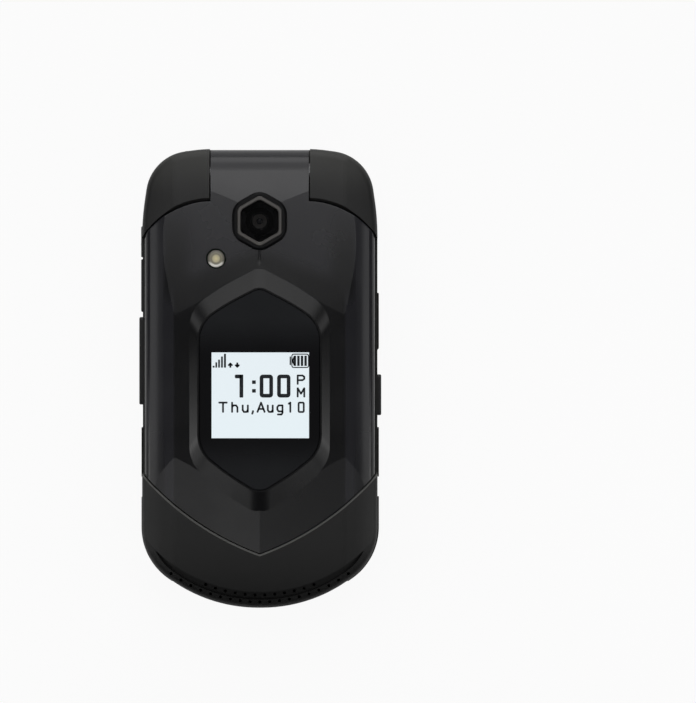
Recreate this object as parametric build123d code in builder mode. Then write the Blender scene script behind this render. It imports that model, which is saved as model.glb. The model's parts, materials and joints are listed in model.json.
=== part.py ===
from build123d import *
import os
from math import asin, cos, degrees, hypot, radians, sin, sqrt

# Rugged clamshell phone, closed and lying on its back.
# +Z is up out of the lid, +Y points to the hinge, +X is the right-hand side seen from the front.
# Millimetres throughout. The origin is under the middle of the phone, on the grip bands.

# ---------------------------------------------------------------- driving dimensions
LENGTH = 112.0
HALF_LENGTH = LENGTH / 2
BASE_SIDE = 28.7            # half width of the base
LID_SIDE = 28.0             # half width of the lid
REAR_Z = 0.5                # outer face of the battery door between its grip bands
PARTING_Z = 6.0             # rear case meets front cover
DECK_Z = 12.2               # keypad deck
LID_Z = 12.7                # inner face of the lid
LID_PARTING_Z = 15.0        # lid inner cover meets lid outer cover
CROWN_Z = 21.4              # flat middle of the lid's outer face
PLATEAU_Z = 22.6            # top of the raised hexagon
WALL = 1.5
DECK_THICK = 1.2
LID_WALL = 1.4

# Crown of the closed phone: flat middle, creases, falling flanks, and a bend towards each end.
CREASE_X = 20.8
CREASE_R = 6.0
FLANK_MID = (25.2, -0.8)     # from the ridge of the crown
FLANK_MID_R = 16.0
FLANK_END = (31.0, -3.3)
HINGE_BEND_Y = 25.0
HINGE_BEND_R = 260.0
CHIN_BEND_Y = -22.0
CHIN_BEND_R = 220.0
CHIN_BEND_RUN = 18.0
CHIN_END_R = 45.0
CROWN_EDGE_R = 2.2
CROWN_DEEP = 9.5

# Hinge
HINGE_Y = 50.2
HINGE_Z = 14.5
BARREL_R = 5.65             # touches the crown's bend from inside, so that one runs into the other
BARREL_X = 11.95
CHANNEL_R = 5.9
CHANNEL_X = 12.25
BACK_WALL_Z = 9.5
SHOULDER_R0 = 9.05          # seam radius about the hinge axis, beside the barrel
SHOULDER_R1 = 17.87         # the same at SHOULDER_X1
SHOULDER_X1 = 30.0
SEAM_GAP = 0.26
SEAM_CHAMFER = 0.3          # on the chin's side of the seam
SEAM_RIM_R = 0.3            # on the lid's side of it, beside the towers
PIN_R = 1.5
RUNNING = 0.05
CAM_HEAD_R = 2.4
CAM_BODY_R = 3.4

# Seam between lid and chin: one arc a side, meeting in a point
SEAM_TIP = (0.0, -42.7)
SEAM_MID = (14.4, -35.4)
SEAM_END = (28.35, -23.25)

# Hexagon on the lid: (x, y) of the side corner and the two tips
HEX_INNER = {"side": 15.15, "top": 22.55, "bottom": -28.5, "up": 13.7, "down": -17.8}
HEX_OUTER = {"side": 18.35, "top": 30.15, "bottom": -34.5, "up": 19.2, "down": -23.05}
HEX_FOOT_Z = 20.6
HEX_CORNER_R = {"top": 3.4, "bottom": 5.0, "side": 8.5}
HEX_BULGE = (0.5, 50.0)     # how far the slanting edges swell outwards, and their radius
HEX_RIM = 0.4
KEEL = ((0.0, -31.7), (17.4, -20.8))    # foot of the hexagon: the lid falls away below it
KEEL_FALL = 7.0
BROW = ((0.0, 26.8), (17.4, 17.2))      # head of the hexagon: the lid falls away above it
BROW_FALL = 2.1
LID_ROOF_SINK = 1.9
NECK_Y = 43.2
WINDOW_Z = (21.75, 22.55)
SUB_MODULE = (27.4, 24.4)
SUB_MODULE_Z = (19.9, 21.7)

CAMERA_AT = (0.0, 38.3)
BEZEL_SIZE = 13.2
BEZEL_CORNER_R = 4.0
BEZEL_Z = (20.2, 21.7)
RING_SIZE = (10.95, 9.1)
RING_CORNER_R = (1.5, 1.3)
RING_Z = (21.2, 21.9)
CAMERA_GLASS_Z = (20.7, 21.2)
FLASH_AT = (-10.6, 29.2)
FLASH_R = 2.15
FLASH_GAP = 0.3
FLASH_TOP_Z = 21.05
SUB_DISPLAY_AT = (0.0, -4.0)

# Main display and what sits round it in the lid
DISPLAY_AT = (0.0, 1.0)
LENS_SIZE = (44.0, 58.0)
LENS_Z = (12.9, 13.7)
DISPLAY_SIZE = (41.4, 55.4)
DISPLAY_Z = (13.8, 15.8)
LID_BOARD_Z = (16.1, 16.9)
EARPIECE_AT = (0.0, -36.0)
EARPIECE_SIZE = (12.0, 5.0)
BUMPER_Z = (12.25, 12.7)

# Door and lock
DOOR_SIDE = 25.0
DOOR_TOP = 51.8
DOOR_BOTTOM = -50.4
DOOR_Z = (0.5, 1.9)
DOOR_GAP = 0.15
FLOOR_Z = (2.2, 3.4)
LOCK_AT = (0.0, -32.7)
LOCK_R = 4.8
CONTACT_X = 9.1
CONTACT_SIZE = (3.4, 5.0)
BAND_TOPS = (31.1, 12.8, -5.7)
BAND_BOTTOMS = (20.0, 0.9, -16.8)
BAND_R = 107.0

# Battery bay
BAY_HALF = 19.6
BAY_Y = (-21.6, 31.6)
BAY_ROOF_Z = 7.2
BAY_WALL = 0.8

# Keypad
KEY_TOP_Z = 12.45
KEY_FOOT_Z = 9.6
KEY_GAP = 0.18
KEY_FLANGE = 0.5
KEY_PITCH = (16.4, 8.4)
NUMBER_SIZE = (15.6, 7.0)
NUMBER_TOP_Y = 0.5
NUMBER_LIFT = 2.4           # outer columns stand this much further up the deck
NUMBER_KEYS = (
    ("key_1", "key_2", "key_3"),
    ("key_4", "key_5", "key_6"),
    ("key_7", "key_8", "key_9"),
    ("key_star", "key_0", "key_hash"),
)

# Speaker grille in the chin
GRILLE_CENTRE_Y = -17.7
GRILLE_ROW_R = (36.8, 35.1)
GRILLE_PITCH = 2.4
GRILLE_HOLE_R = 0.38
GROOVE_UPPER_R = 36.5
GROOVE_UPPER_Y = -15.6
GROOVE_INSET = 2.1
GROOVE_DEEP = 1.1

# Sides: keys, port covers and rubber grips
SIDE_KEY_Z = (6.9, 10.5)
VOLUME_Y = (16.3, 37.3)
VOLUME_NOTCH = (29.45, 0.9)      # place along the phone and half width of the notch between its halves
PTT_Y = (-6.4, 15.05)
SPEAKER_Y = (-9.0, 1.0)
USB_Y = (7.0, 21.0)
SIDE_REACH = 0.95
SIDE_PROUD = 0.36
SIDE_ROOMS = (              # side, y range and depth kept clear of the board
    (-1, VOLUME_Y, 3.4), (-1, PTT_Y, 3.4), (1, SPEAKER_Y, 3.4), (1, USB_Y, 8.0),
)
PORT_DEEP = 1.6
USB_PORT_Z = 8.4
USB_PORT_H = 2.4
FLAP_THICK = 1.2
HEADSET_X = -16.2
HEADSET_SINK = 0.3
HEADSET_Z = 9.0
HEADSET_W = 4.9
HEADSET_H = 4.6
HEADSET_JACK_Y = 54.0
GRIP_Y = ((-24.0, -12.0), (-49.6, -29.0))
GRIP_Z = (4.4, 11.6)
REAR_CHAMFER = 3.3
SIDE_GROOVE_Y = (16.6, -2.5, -20.3)

# Inside the base
BOARD_Z = (7.95, 8.75)
CARD_AT = (9.0, 41.5)
CARD_SIZE = (15.0, 11.0)
LOCK_SOCKET_R = (3.9, 4.6)
SEAL_INSET = (1.2, 2.2)
BAND_CHAMFER = (1.0, 0.45)
MIC_AT = (-13.8, 49.6)

CHASSIS_SCREWS = ((23.2, 38.0), (23.2, 8.65), (20.5, -38.0))
CHASSIS_POST_R = 1.5
LID_SCREWS = ((22.0, 34.0), (12.5, -33.2))

HINGE_AXIS = Axis((0, HINGE_Y, HINGE_Z), (1, 0, 0))


# ---------------------------------------------------------------- shared outlines
def plan_outline(side):
    """Plan of the closed phone with a given half width."""
    half = (
        (11.6, -HALF_LENGTH, 36.0),
        (side, -44.3, 15.0),
        (side, 39.0, 60.0),
        (side - 2.2, 54.2, 11.0),
        (13.9, HALF_LENGTH, 40.0),
    )
    points = [(x, y) for x, y, _ in half] + [(-x, y) for x, y, _ in reversed(half)]
    radii = [r for _, _, r in half] + [r for _, _, r in reversed(half)]
    with BuildSketch() as plan:
        with BuildLine():
            FilletPolyline(*points, radius=radii, close=True)
        make_face()
    return plan.sketch


def inset(shape, amount):
    with BuildSketch() as smaller:
        add(shape)
        offset(amount=-amount)
    return smaller.sketch


def door_outline(grow=0.0):
    half = (
        (9.0, DOOR_BOTTOM, 30.0),
        (DOOR_SIDE, -42.5, 5.0),
        (DOOR_SIDE, DOOR_TOP, 9.0),
    )
    points = [(x, y) for x, y, _ in half] + [(-x, y) for x, y, _ in reversed(half)]
    radii = [r for _, _, r in half] + [r for _, _, r in reversed(half)]
    with BuildSketch() as plan:
        with BuildLine():
            FilletPolyline(*points, radius=radii, close=True)
        make_face()
        if grow:
            offset(amount=grow)
    return plan.sketch


def mirrored(point):
    return (-point[0], point[1])


def swollen(start, end):
    """Middle of an edge, moved to its right by the hexagon's bulge."""
    along = (Vector(*end) - Vector(*start)).normalized()
    middle = (Vector(*start) + Vector(*end)) / 2 + Vector(along.Y, -along.X) * HEX_BULGE[0]
    return (middle.X, middle.Y)


def hexagon(corners, grow=0.0):
    """Tall hexagon with soft corners; its slanting edges swell a little."""
    side, up, down = corners["side"], corners["up"], corners["down"]
    top, bottom = (0, corners["top"]), (0, corners["bottom"])
    lower, upper = swollen(bottom, (side, down)), swollen((side, up), top)
    half = (lower, (side, down), (side, up), upper)
    side_r, edge_r = HEX_CORNER_R["side"], HEX_BULGE[1]
    half_r = [edge_r, side_r, side_r, edge_r]
    with BuildSketch() as shape:
        with BuildLine():
            FilletPolyline(
                bottom, *half, top, *[mirrored(point) for point in reversed(half)],
                radius=[HEX_CORNER_R["bottom"], *half_r, HEX_CORNER_R["top"], *half_r], close=True,
            )
        make_face()
        if grow:
            offset(amount=grow)
    return shape.sketch


def pointed_hexagon(width, corner_r):
    """Regular hexagon standing on a point, with rounded corners."""
    with BuildSketch() as shape:
        RegularPolygon(radius=width / 2, side_count=6, major_radius=False, rotation=90)
        fillet(shape.vertices(), radius=corner_r)
    return shape.sketch


def lid_region(grow=0.0):
    """Plan of everything above the seam between lid and chin."""
    tip_y, (mid_x, mid_y), (end_x, end_y) = SEAM_TIP[1], SEAM_MID, SEAM_END
    far_x, far_y = 33.0, 60.0
    with BuildSketch() as region:
        with BuildLine():
            ThreePointArc((0, tip_y), (mid_x, mid_y), (end_x, end_y))
            Polyline((end_x, end_y), (far_x, -18.5), (far_x, far_y), (-far_x, far_y), (-far_x, -18.5), (-end_x, end_y))
            ThreePointArc((-end_x, end_y), (-mid_x, mid_y), (0, tip_y))
        make_face()
        if grow:
            offset(amount=grow)
    return region.sketch


def shoulder_profile(shrink=0.0):
    """Half section of both hinge towers, to be turned about the hinge axis."""
    start_x = CHANNEL_X if shrink else BARREL_X
    near = HINGE_Y - SHOULDER_R0 + shrink
    far = HINGE_Y - SHOULDER_R1 + shrink
    with BuildSketch(Plane.XY.offset(HINGE_Z)) as profile:
        with BuildLine():
            TangentArc((start_x, near), (SHOULDER_X1, far), tangent=(1, 0))
            Polyline((SHOULDER_X1, far), (SHOULDER_X1, HINGE_Y), (start_x, HINGE_Y), (start_x, near))
        make_face()
        mirror(about=Plane.YZ)
    return profile.sketch


def seam_radius(x):
    """Radius of the lid's side of the shoulder seam about the hinge axis."""
    run, rise = SHOULDER_X1 - BARREL_X, SHOULDER_R1 - SHOULDER_R0
    arc_r = (run**2 + rise**2) / (2 * rise)
    return SHOULDER_R0 + arc_r - sqrt(arc_r**2 - (abs(x) - BARREL_X) ** 2)


def on_seam_rim(edge):
    """Whether an edge runs along the top of the shoulder seam."""
    points = [edge.position_at(share) for share in (0.05, 0.5, 0.95)]
    reach = [hypot(p.Y - HINGE_Y, p.Z - HINGE_Z) - seam_radius(p.X) for p in points]
    return max(abs(r) for r in reach) < RUNNING and min(p.Z for p in points) > LID_PARTING_Z + 2


BASE_PLAN = plan_outline(BASE_SIDE)
with BuildSketch() as lid_strip:    # the seams trim both of its ends
    Rectangle(2 * LID_SIDE, LENGTH - 8)
LID_PLAN = lid_strip.sketch


# ---------------------------------------------------------------- crown
def crown_plane(at_y, at_z, lean=0.0):
    return Plane(origin=(0, at_y, at_z), x_dir=(1, 0, 0), z_dir=(0, -cos(lean), -sin(lean)))


def crown(plan, sink=0.0, edge_r=CROWN_EDGE_R, all_round=True):
    """Everything above the deck inside a plan: a bent bar with rounded top edges."""
    ridge_z = CROWN_Z - sink
    with BuildSketch() as section:
        with BuildLine():
            half = ((CREASE_X, 0), FLANK_MID, FLANK_END, (FLANK_END[0], -CROWN_DEEP))
            FilletPolyline(
                *[mirrored(corner) for corner in reversed(half)], *half,
                radius=[0, FLANK_MID_R, CREASE_R, CREASE_R, FLANK_MID_R, 0],
            )
            Line(half[-1], mirrored(half[-1]))
        make_face()
    bend = asin(CHIN_BEND_RUN / CHIN_BEND_R)
    knee_y = CHIN_BEND_Y - CHIN_BEND_R * sin(bend)
    knee_z = ridge_z - CHIN_BEND_R * (1 - cos(bend))
    end_centre = (0, knee_y + CHIN_END_R * sin(bend), knee_z - CHIN_END_R * cos(bend))
    with BuildPart() as bar:
        with BuildSketch(crown_plane(HINGE_BEND_Y, ridge_z)):
            add(section.sketch)
        extrude(amount=HINGE_BEND_Y - CHIN_BEND_Y)
        with BuildSketch(crown_plane(HINGE_BEND_Y, ridge_z)):
            add(section.sketch)
        revolve(axis=Axis((0, HINGE_BEND_Y, ridge_z - HINGE_BEND_R), (-1, 0, 0)), revolution_arc=9)
        with BuildSketch(crown_plane(CHIN_BEND_Y, ridge_z)):
            add(section.sketch)
        revolve(axis=Axis((0, CHIN_BEND_Y, ridge_z - CHIN_BEND_R), (1, 0, 0)), revolution_arc=degrees(bend))
        with BuildSketch(crown_plane(knee_y, knee_z, bend)):
            add(section.sketch)
        revolve(axis=Axis(end_centre, (1, 0, 0)), revolution_arc=40)
        with BuildSketch(Plane.XY.offset(DECK_Z - 0.7)):
            add(plan)
        extrude(amount=14, mode=Mode.INTERSECT)
        if edge_r:
            walls = [f for f in bar.faces() if abs(f.normal_at().Z) < 0.05 and f.area > 1]
            if not all_round:
                walls = [f for f in walls if abs(f.normal_at().X) > 0.99]
            rim = [
                e for e in bar.edges().filter_by_position(Axis.Z, DECK_Z, 30)
                if sum(any(e.is_same(w) for w in wall.edges()) for wall in walls) == 1
            ]
            fillet(rim, radius=edge_r)
    return bar.part


def crown_height(y):
    """Height of the crown's flat middle at a station along the phone."""
    if y > HINGE_BEND_Y:
        return CROWN_Z - HINGE_BEND_R + sqrt(HINGE_BEND_R**2 - (y - HINGE_BEND_Y) ** 2)
    if y > CHIN_BEND_Y:
        return CROWN_Z
    return CROWN_Z - CHIN_BEND_R + sqrt(CHIN_BEND_R**2 - (y - CHIN_BEND_Y) ** 2)


BASE_CROWN = crown(BASE_PLAN)
LID_CROWN = crown(LID_PLAN, all_round=False)


def facet_plane(start, end, fall):
    """Plane through two points of the crown that falls away on its -y side."""
    start = Vector(start[0], start[1], crown_height(start[1]))
    along = (Vector(end[0], end[1], crown_height(end[1])) - start).normalized()
    level = Vector(along.Y, -along.X, 0).normalized()
    down = level * cos(fall) - Vector(0, 0, sin(fall))
    return Plane(origin=start, x_dir=along, z_dir=down.cross(along))


def write(piece, name):
    piece.part.label = name
    export_step(piece.part, f"parts/{name}.step")


os.makedirs("parts", exist_ok=True)

# ================================================================ lid body
KEEL_CUT, BROW_CUT = radians(KEEL_FALL), radians(BROW_FALL)
LID_FACETS = (
    facet_plane(KEEL[0], KEEL[1], KEEL_CUT),
    facet_plane(mirrored(KEEL[1]), KEEL[0], KEEL_CUT),
    facet_plane(BROW[1], BROW[0], BROW_CUT),
    facet_plane(BROW[0], mirrored(BROW[1]), BROW_CUT),
)

with BuildSketch() as lid_cavity_plan:
    with Locations((0, -10)):
        Rectangle(52.8, 78)
    with Locations((0, 20)):
        Rectangle(36, 33)
        Rectangle(21, 45.2)
    add(lid_region(-2.2), mode=Mode.INTERSECT)

with BuildPart() as lid_cavity:
    add(crown(LID_PLAN, sink=LID_ROOF_SINK, edge_r=0))
    with BuildSketch(Plane.XY.offset(LID_PARTING_Z)):
        add(lid_cavity_plan.sketch)
    extrude(amount=10, mode=Mode.INTERSECT)

with BuildPart() as lid_outer_cover:
    add(LID_CROWN)
    for plane in LID_FACETS:
        with BuildSketch(plane):
            Rectangle(90, 40, align=(Align.CENTER, Align.MAX))
        extrude(amount=4, mode=Mode.SUBTRACT)
    with BuildSketch(Plane.XY.offset(HEX_FOOT_Z)):
        add(hexagon(HEX_OUTER))
    with BuildSketch(Plane.XY.offset(PLATEAU_Z)):
        add(hexagon(HEX_INNER))
    loft(ruled=True)
    with BuildSketch():
        add(lid_region(-SEAM_GAP / 2))
    extrude(amount=30, mode=Mode.INTERSECT)
    with Locations((0, NECK_Y, LID_PARTING_Z)):
        Box(80, 120, 10, align=(Align.CENTER, Align.MAX, Align.MAX), mode=Mode.SUBTRACT)
    with Locations((0, 0, LID_Z)):
        Box(80, 120, 10, align=(Align.CENTER, Align.CENTER, Align.MAX), mode=Mode.SUBTRACT)
    with Locations((0, HINGE_Y + BARREL_R * (HINGE_Y - HINGE_BEND_Y) / HINGE_BEND_R, 0)):
        Box(80, 20, 60, align=(Align.CENTER, Align.MIN, Align.CENTER), mode=Mode.SUBTRACT)
    with BuildSketch(Plane.XY.offset(HINGE_Z)):
        add(shoulder_profile())
    revolve(axis=HINGE_AXIS, mode=Mode.SUBTRACT)
    fillet([e for e in lid_outer_cover.edges() if on_seam_rim(e)], radius=SEAM_RIM_R)
    add(lid_cavity.part, mode=Mode.SUBTRACT)
    with Locations(*[(sx * x, y, LID_PARTING_Z) for x, y in LID_SCREWS for sx in (-1, 1)]):
        Cylinder(radius=2.2, height=4.0, align=(Align.CENTER, Align.CENTER, Align.MIN))
        Cylinder(radius=0.8, height=3.5, align=(Align.CENTER, Align.CENTER, Align.MIN), mode=Mode.SUBTRACT)
    # window pocket and the opening for the outer display's module
    with BuildSketch(Plane.XY.offset(WINDOW_Z[0])):
        add(hexagon(HEX_INNER, -HEX_RIM))
    extrude(amount=2, mode=Mode.SUBTRACT)
    with BuildSketch(Plane.XY.offset(LID_PARTING_Z)):
        with Locations(SUB_DISPLAY_AT):
            Rectangle(SUB_MODULE[0] + 0.2, SUB_MODULE[1] + 0.2)
    extrude(amount=WINDOW_Z[0] - LID_PARTING_Z + 0.1, mode=Mode.SUBTRACT)
    # camera seat and opening, flash opening
    with BuildSketch(Plane.XY.offset(BEZEL_Z[0])):
        with Locations(CAMERA_AT):
            add(pointed_hexagon(BEZEL_SIZE + 0.2, BEZEL_CORNER_R + 0.1))
    extrude(amount=4, mode=Mode.SUBTRACT)
    with BuildSketch(Plane.XY.offset(LID_PARTING_Z)):
        with Locations(CAMERA_AT):
            Circle(3.9)
        with Locations(FLASH_AT):
            Circle(FLASH_R + FLASH_GAP)
    extrude(amount=9, mode=Mode.SUBTRACT)
    # barrel, with the cam body's bore on the right and the pivot pin's on the left
    with Locations((0, HINGE_Y, HINGE_Z)):
        Cylinder(radius=BARREL_R, height=2 * BARREL_X, rotation=(0, 90, 0))
    with Locations((BARREL_X, HINGE_Y, HINGE_Z)):
        Cylinder(
            radius=CAM_BODY_R, height=14, rotation=(0, 90, 0),
            align=(Align.CENTER, Align.CENTER, Align.MAX), mode=Mode.SUBTRACT,
        )
    with Locations((-BARREL_X, HINGE_Y, HINGE_Z)):
        Cylinder(
            radius=PIN_R + RUNNING, height=7, rotation=(0, 90, 0),
            align=(Align.CENTER, Align.CENTER, Align.MIN), mode=Mode.SUBTRACT,
        )
write(lid_outer_cover, "lid_outer_cover")

with BuildPart() as lid_inner_cover:
    with BuildSketch(Plane.XY.offset(LID_Z)):
        with Locations((0, NECK_Y - 0.1)):
            Rectangle(2 * LID_SIDE, 100, align=(Align.CENTER, Align.MAX))
        add(lid_region(-SEAM_GAP / 2), mode=Mode.INTERSECT)
    extrude(amount=LID_PARTING_Z - LID_Z)
    with BuildSketch(Plane.XY.offset(LID_Z + 1.2)):
        add(lid_cavity_plan.sketch)
    extrude(amount=5, mode=Mode.SUBTRACT)
    with BuildSketch(Plane.XY.offset(HINGE_Z)):
        add(shoulder_profile())
    revolve(axis=HINGE_AXIS, mode=Mode.SUBTRACT)
    with Locations(*[(sx * x, y, LID_Z + 0.6) for x, y in LID_SCREWS for sx in (-1, 1)]):
        Cylinder(radius=2.2, height=LID_PARTING_Z - LID_Z - 0.6, align=(Align.CENTER, Align.CENTER, Align.MIN))
        Cylinder(radius=0.85, height=9, mode=Mode.SUBTRACT)
    with Locations(*[(sx * x, y, LID_Z) for x, y in LID_SCREWS for sx in (-1, 1)]):
        Cylinder(radius=1.6, height=1.7, mode=Mode.SUBTRACT)
    with BuildSketch(Plane.XY.offset(LENS_Z[0])):
        with Locations(DISPLAY_AT):
            RectangleRounded(LENS_SIZE[0] + 0.2, LENS_SIZE[1] + 0.2, 2.1)
    extrude(amount=5, mode=Mode.SUBTRACT)
    with BuildSketch(Plane.XY.offset(LID_Z)):
        with Locations(DISPLAY_AT):
            RectangleRounded(LENS_SIZE[0] - 1.0, LENS_SIZE[1] - 1.0, 1.6)
        with Locations(EARPIECE_AT):
            SlotOverall(9, 1.4)
    extrude(amount=3, mode=Mode.SUBTRACT)
    rims = lid_inner_cover.faces().filter_by(Axis.Z).group_by(Axis.Z)[0].edges()
    outer_rim = [e for e in rims if abs(e.center().X) > 27.9]
    chamfer(outer_rim, length=0.4)
write(lid_inner_cover, "lid_inner_cover")

with BuildPart() as display_lens:
    with BuildSketch(Plane.XY.offset(LENS_Z[0])):
        with Locations(DISPLAY_AT):
            RectangleRounded(*LENS_SIZE, 2.0)
    extrude(amount=LENS_Z[1] - LENS_Z[0])
write(display_lens, "display_lens")

with BuildPart() as main_display:
    with BuildSketch(Plane.XY.offset(DISPLAY_Z[0])):
        with Locations(DISPLAY_AT):
            Rectangle(*DISPLAY_SIZE)
    extrude(amount=DISPLAY_Z[1] - DISPLAY_Z[0])
    chamfer(main_display.faces().sort_by(Axis.Z)[-1].edges(), length=0.3)
write(main_display, "main_display")

with BuildPart() as lid_circuit_board:
    with BuildSketch(Plane.XY.offset(LID_BOARD_Z[0])):
        with Locations((0, 0)):
            RectangleRounded(36, 56, 2)
        with Locations((0, 29)):
            Rectangle(28, 8)
    extrude(amount=LID_BOARD_Z[1] - LID_BOARD_Z[0])
    with BuildSketch(Plane.XY.offset(LID_BOARD_Z[1])):
        with Locations((-9, 18), (9, 18)):
            Rectangle(9, 7)
        with Locations((0, -22)):
            Rectangle(14, 6)
    extrude(amount=1.0)
    with BuildSketch(Plane.XY.offset(LID_BOARD_Z[1])):
        with Locations(FLASH_AT):
            Circle(1.4)
    extrude(amount=1.2, mode=Mode.ADD)
write(lid_circuit_board, "lid_circuit_board")

with BuildPart() as sub_display:
    with BuildSketch(Plane.XY.offset(SUB_MODULE_Z[0])):
        with Locations(SUB_DISPLAY_AT):
            Rectangle(*SUB_MODULE)
    extrude(amount=SUB_MODULE_Z[1] - SUB_MODULE_Z[0])
    chamfer(sub_display.faces().sort_by(Axis.Z)[0].edges(), length=0.4)
write(sub_display, "sub_display")

with BuildPart() as sub_display_window:
    with BuildSketch(Plane.XY.offset(WINDOW_Z[0])):
        add(hexagon(HEX_INNER, -HEX_RIM - 0.1))
    extrude(amount=WINDOW_Z[1] - WINDOW_Z[0])
    chamfer(sub_display_window.faces().sort_by(Axis.Z)[-1].edges(), length=0.2)
write(sub_display_window, "sub_display_window")

with BuildPart() as camera_bezel:
    with BuildSketch(Plane.XY.offset(BEZEL_Z[0])):
        with Locations(CAMERA_AT):
            add(pointed_hexagon(BEZEL_SIZE, BEZEL_CORNER_R))
    extrude(amount=BEZEL_Z[1] - BEZEL_Z[0])
    chamfer(camera_bezel.faces().sort_by(Axis.Z)[-1].edges(), length=0.5)
    with BuildSketch(Plane.XY.offset(RING_Z[0])):
        with Locations(CAMERA_AT):
            add(pointed_hexagon(RING_SIZE[0], RING_CORNER_R[0]))
    extrude(amount=2, mode=Mode.SUBTRACT)
    with BuildSketch(Plane.XY.offset(CAMERA_GLASS_Z[0])):
        with Locations(CAMERA_AT):
            add(pointed_hexagon(RING_SIZE[1], RING_CORNER_R[1]))
    extrude(amount=2, mode=Mode.SUBTRACT)
    with Locations((*CAMERA_AT, BEZEL_Z[0])):
        Cylinder(radius=3.4, height=3, mode=Mode.SUBTRACT)
write(camera_bezel, "camera_bezel")

with BuildPart() as camera_ring:
    with BuildSketch(Plane.XY.offset(RING_Z[0])):
        with Locations(CAMERA_AT):
            add(pointed_hexagon(RING_SIZE[0] - 0.04, RING_CORNER_R[0]))
            add(pointed_hexagon(RING_SIZE[1], RING_CORNER_R[1]), mode=Mode.SUBTRACT)
    extrude(amount=RING_Z[1] - RING_Z[0])
    chamfer(camera_ring.faces().sort_by(Axis.Z)[-1].edges(), length=0.2)
write(camera_ring, "camera_ring")

with BuildPart() as camera_glass:
    with BuildSketch(Plane.XY.offset(CAMERA_GLASS_Z[0])):
        with Locations(CAMERA_AT):
            add(pointed_hexagon(RING_SIZE[1] - 0.06, RING_CORNER_R[1]))
    extrude(amount=CAMERA_GLASS_Z[1] - CAMERA_GLASS_Z[0])
write(camera_glass, "camera_glass")

with BuildPart() as camera_module:
    with BuildSketch(Plane.XY.offset(LID_PARTING_Z + 0.1)):
        with Locations(CAMERA_AT):
            RectangleRounded(7.4, 7.4, 0.6)
    extrude(amount=3.4)
    with BuildSketch(Plane.XY.offset(LID_PARTING_Z + 3.5)):
        with Locations(CAMERA_AT):
            Circle(3.1)
    extrude(amount=CAMERA_GLASS_Z[0] - LID_PARTING_Z - 3.6)
    with Locations((*CAMERA_AT, CAMERA_GLASS_Z[0] - 0.1)):
        Cone(bottom_radius=1.0, top_radius=2.2, height=0.9, align=(Align.CENTER, Align.CENTER, Align.MAX),
             mode=Mode.SUBTRACT)
write(camera_module, "camera_module")

with BuildPart() as flash_lens:
    with BuildSketch(Plane.XY.offset(FLASH_TOP_Z - 1.4)):
        with Locations(FLASH_AT):
            Circle(FLASH_R)
    extrude(amount=1.4)
    fillet(flash_lens.faces().sort_by(Axis.Z)[-1].edges(), radius=0.35)
write(flash_lens, "flash_lens")

with BuildPart() as earpiece:
    with BuildSketch(Plane.XY.offset(LID_Z + 1.2)):
        with Locations(EARPIECE_AT):
            SlotOverall(*EARPIECE_SIZE)
    extrude(amount=2.2)
write(earpiece, "earpiece")

with BuildPart() as lid_bumpers:
    with BuildSketch(Plane.XY.offset(BUMPER_Z[0])):
        with Locations((-25.4, 24), (25.4, 24), (-9, -36.2), (9, -36.2)):
            SlotOverall(4.0, 1.8, rotation=90)
    extrude(amount=BUMPER_Z[1] - BUMPER_Z[0])
write(lid_bumpers, "lid_bumpers")

with BuildPart() as lid_screws:
    with Locations(*[(sx * x, y, LID_Z + 0.1) for x, y in LID_SCREWS for sx in (-1, 1)]):
        Cylinder(radius=1.5, height=0.7, align=(Align.CENTER, Align.CENTER, Align.MIN))
        Cylinder(radius=0.8, height=5.2, align=(Align.CENTER, Align.CENTER, Align.MIN))
write(lid_screws, "lid_screws")

with BuildPart() as hinge_cam_module:
    with Locations((BARREL_X, HINGE_Y, HINGE_Z)):
        Cylinder(radius=CAM_BODY_R, height=14, rotation=(0, 90, 0), align=(Align.CENTER, Align.CENTER, Align.MAX))
        Cylinder(radius=CAM_HEAD_R, height=4.4, rotation=(0, 90, 0), align=(Align.CENTER, Align.CENTER, Align.MIN))
write(hinge_cam_module, "hinge_cam_module")

# ================================================================ base body
with BuildPart() as tower_core:
    with BuildSketch(Plane.XY.offset(HINGE_Z)):
        add(shoulder_profile(SEAM_GAP))
    revolve(axis=HINGE_AXIS)

with BuildPart() as towers:
    add(BASE_CROWN)
    add(tower_core.part, mode=Mode.INTERSECT)

with BuildPart() as chin:
    add(BASE_CROWN)
    with BuildSketch():
        add(lid_region(SEAM_GAP / 2))
    extrude(amount=30, mode=Mode.SUBTRACT)
    seam_walls = [f for f in chin.faces() if f.normal_at().Y > 0.3 and abs(f.normal_at().Z) < 0.05]
    seam_rim = [e for wall in seam_walls for e in wall.edges() if min(v.Z for v in e.vertices()) > LID_PARTING_Z]
    chamfer([e for e in seam_rim if abs(e.tangent_at(0.5).Z) < 0.9], length=SEAM_CHAMFER)

with BuildPart() as grille_groove:
    with BuildSketch(Plane.XY.offset(DECK_Z)):
        add(inset(BASE_PLAN, GROOVE_INSET))
        with Locations((0, GROOVE_UPPER_Y)):
            Circle(GROOVE_UPPER_R, mode=Mode.SUBTRACT)
        with Locations((0, GROOVE_UPPER_Y)):
            Rectangle(80, 80, align=(Align.CENTER, Align.MIN), mode=Mode.SUBTRACT)
    extrude(amount=12)
    add(BASE_CROWN.moved(Location((0, 0, -GROOVE_DEEP))), mode=Mode.SUBTRACT)

with BuildSketch(Plane.XY.offset(DECK_Z + 2)) as grille_holes:
    for row_r, start, count in ((GRILLE_ROW_R[0], 0.0, 10), (GRILLE_ROW_R[1], 0.5, 6)):
        xs = sorted({s * (i + start) * GRILLE_PITCH for i in range(count) for s in (-1, 1)})
        with Locations(*[(x, GRILLE_CENTRE_Y - sqrt(row_r**2 - x**2)) for x in xs]):
            Circle(GRILLE_HOLE_R)

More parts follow.
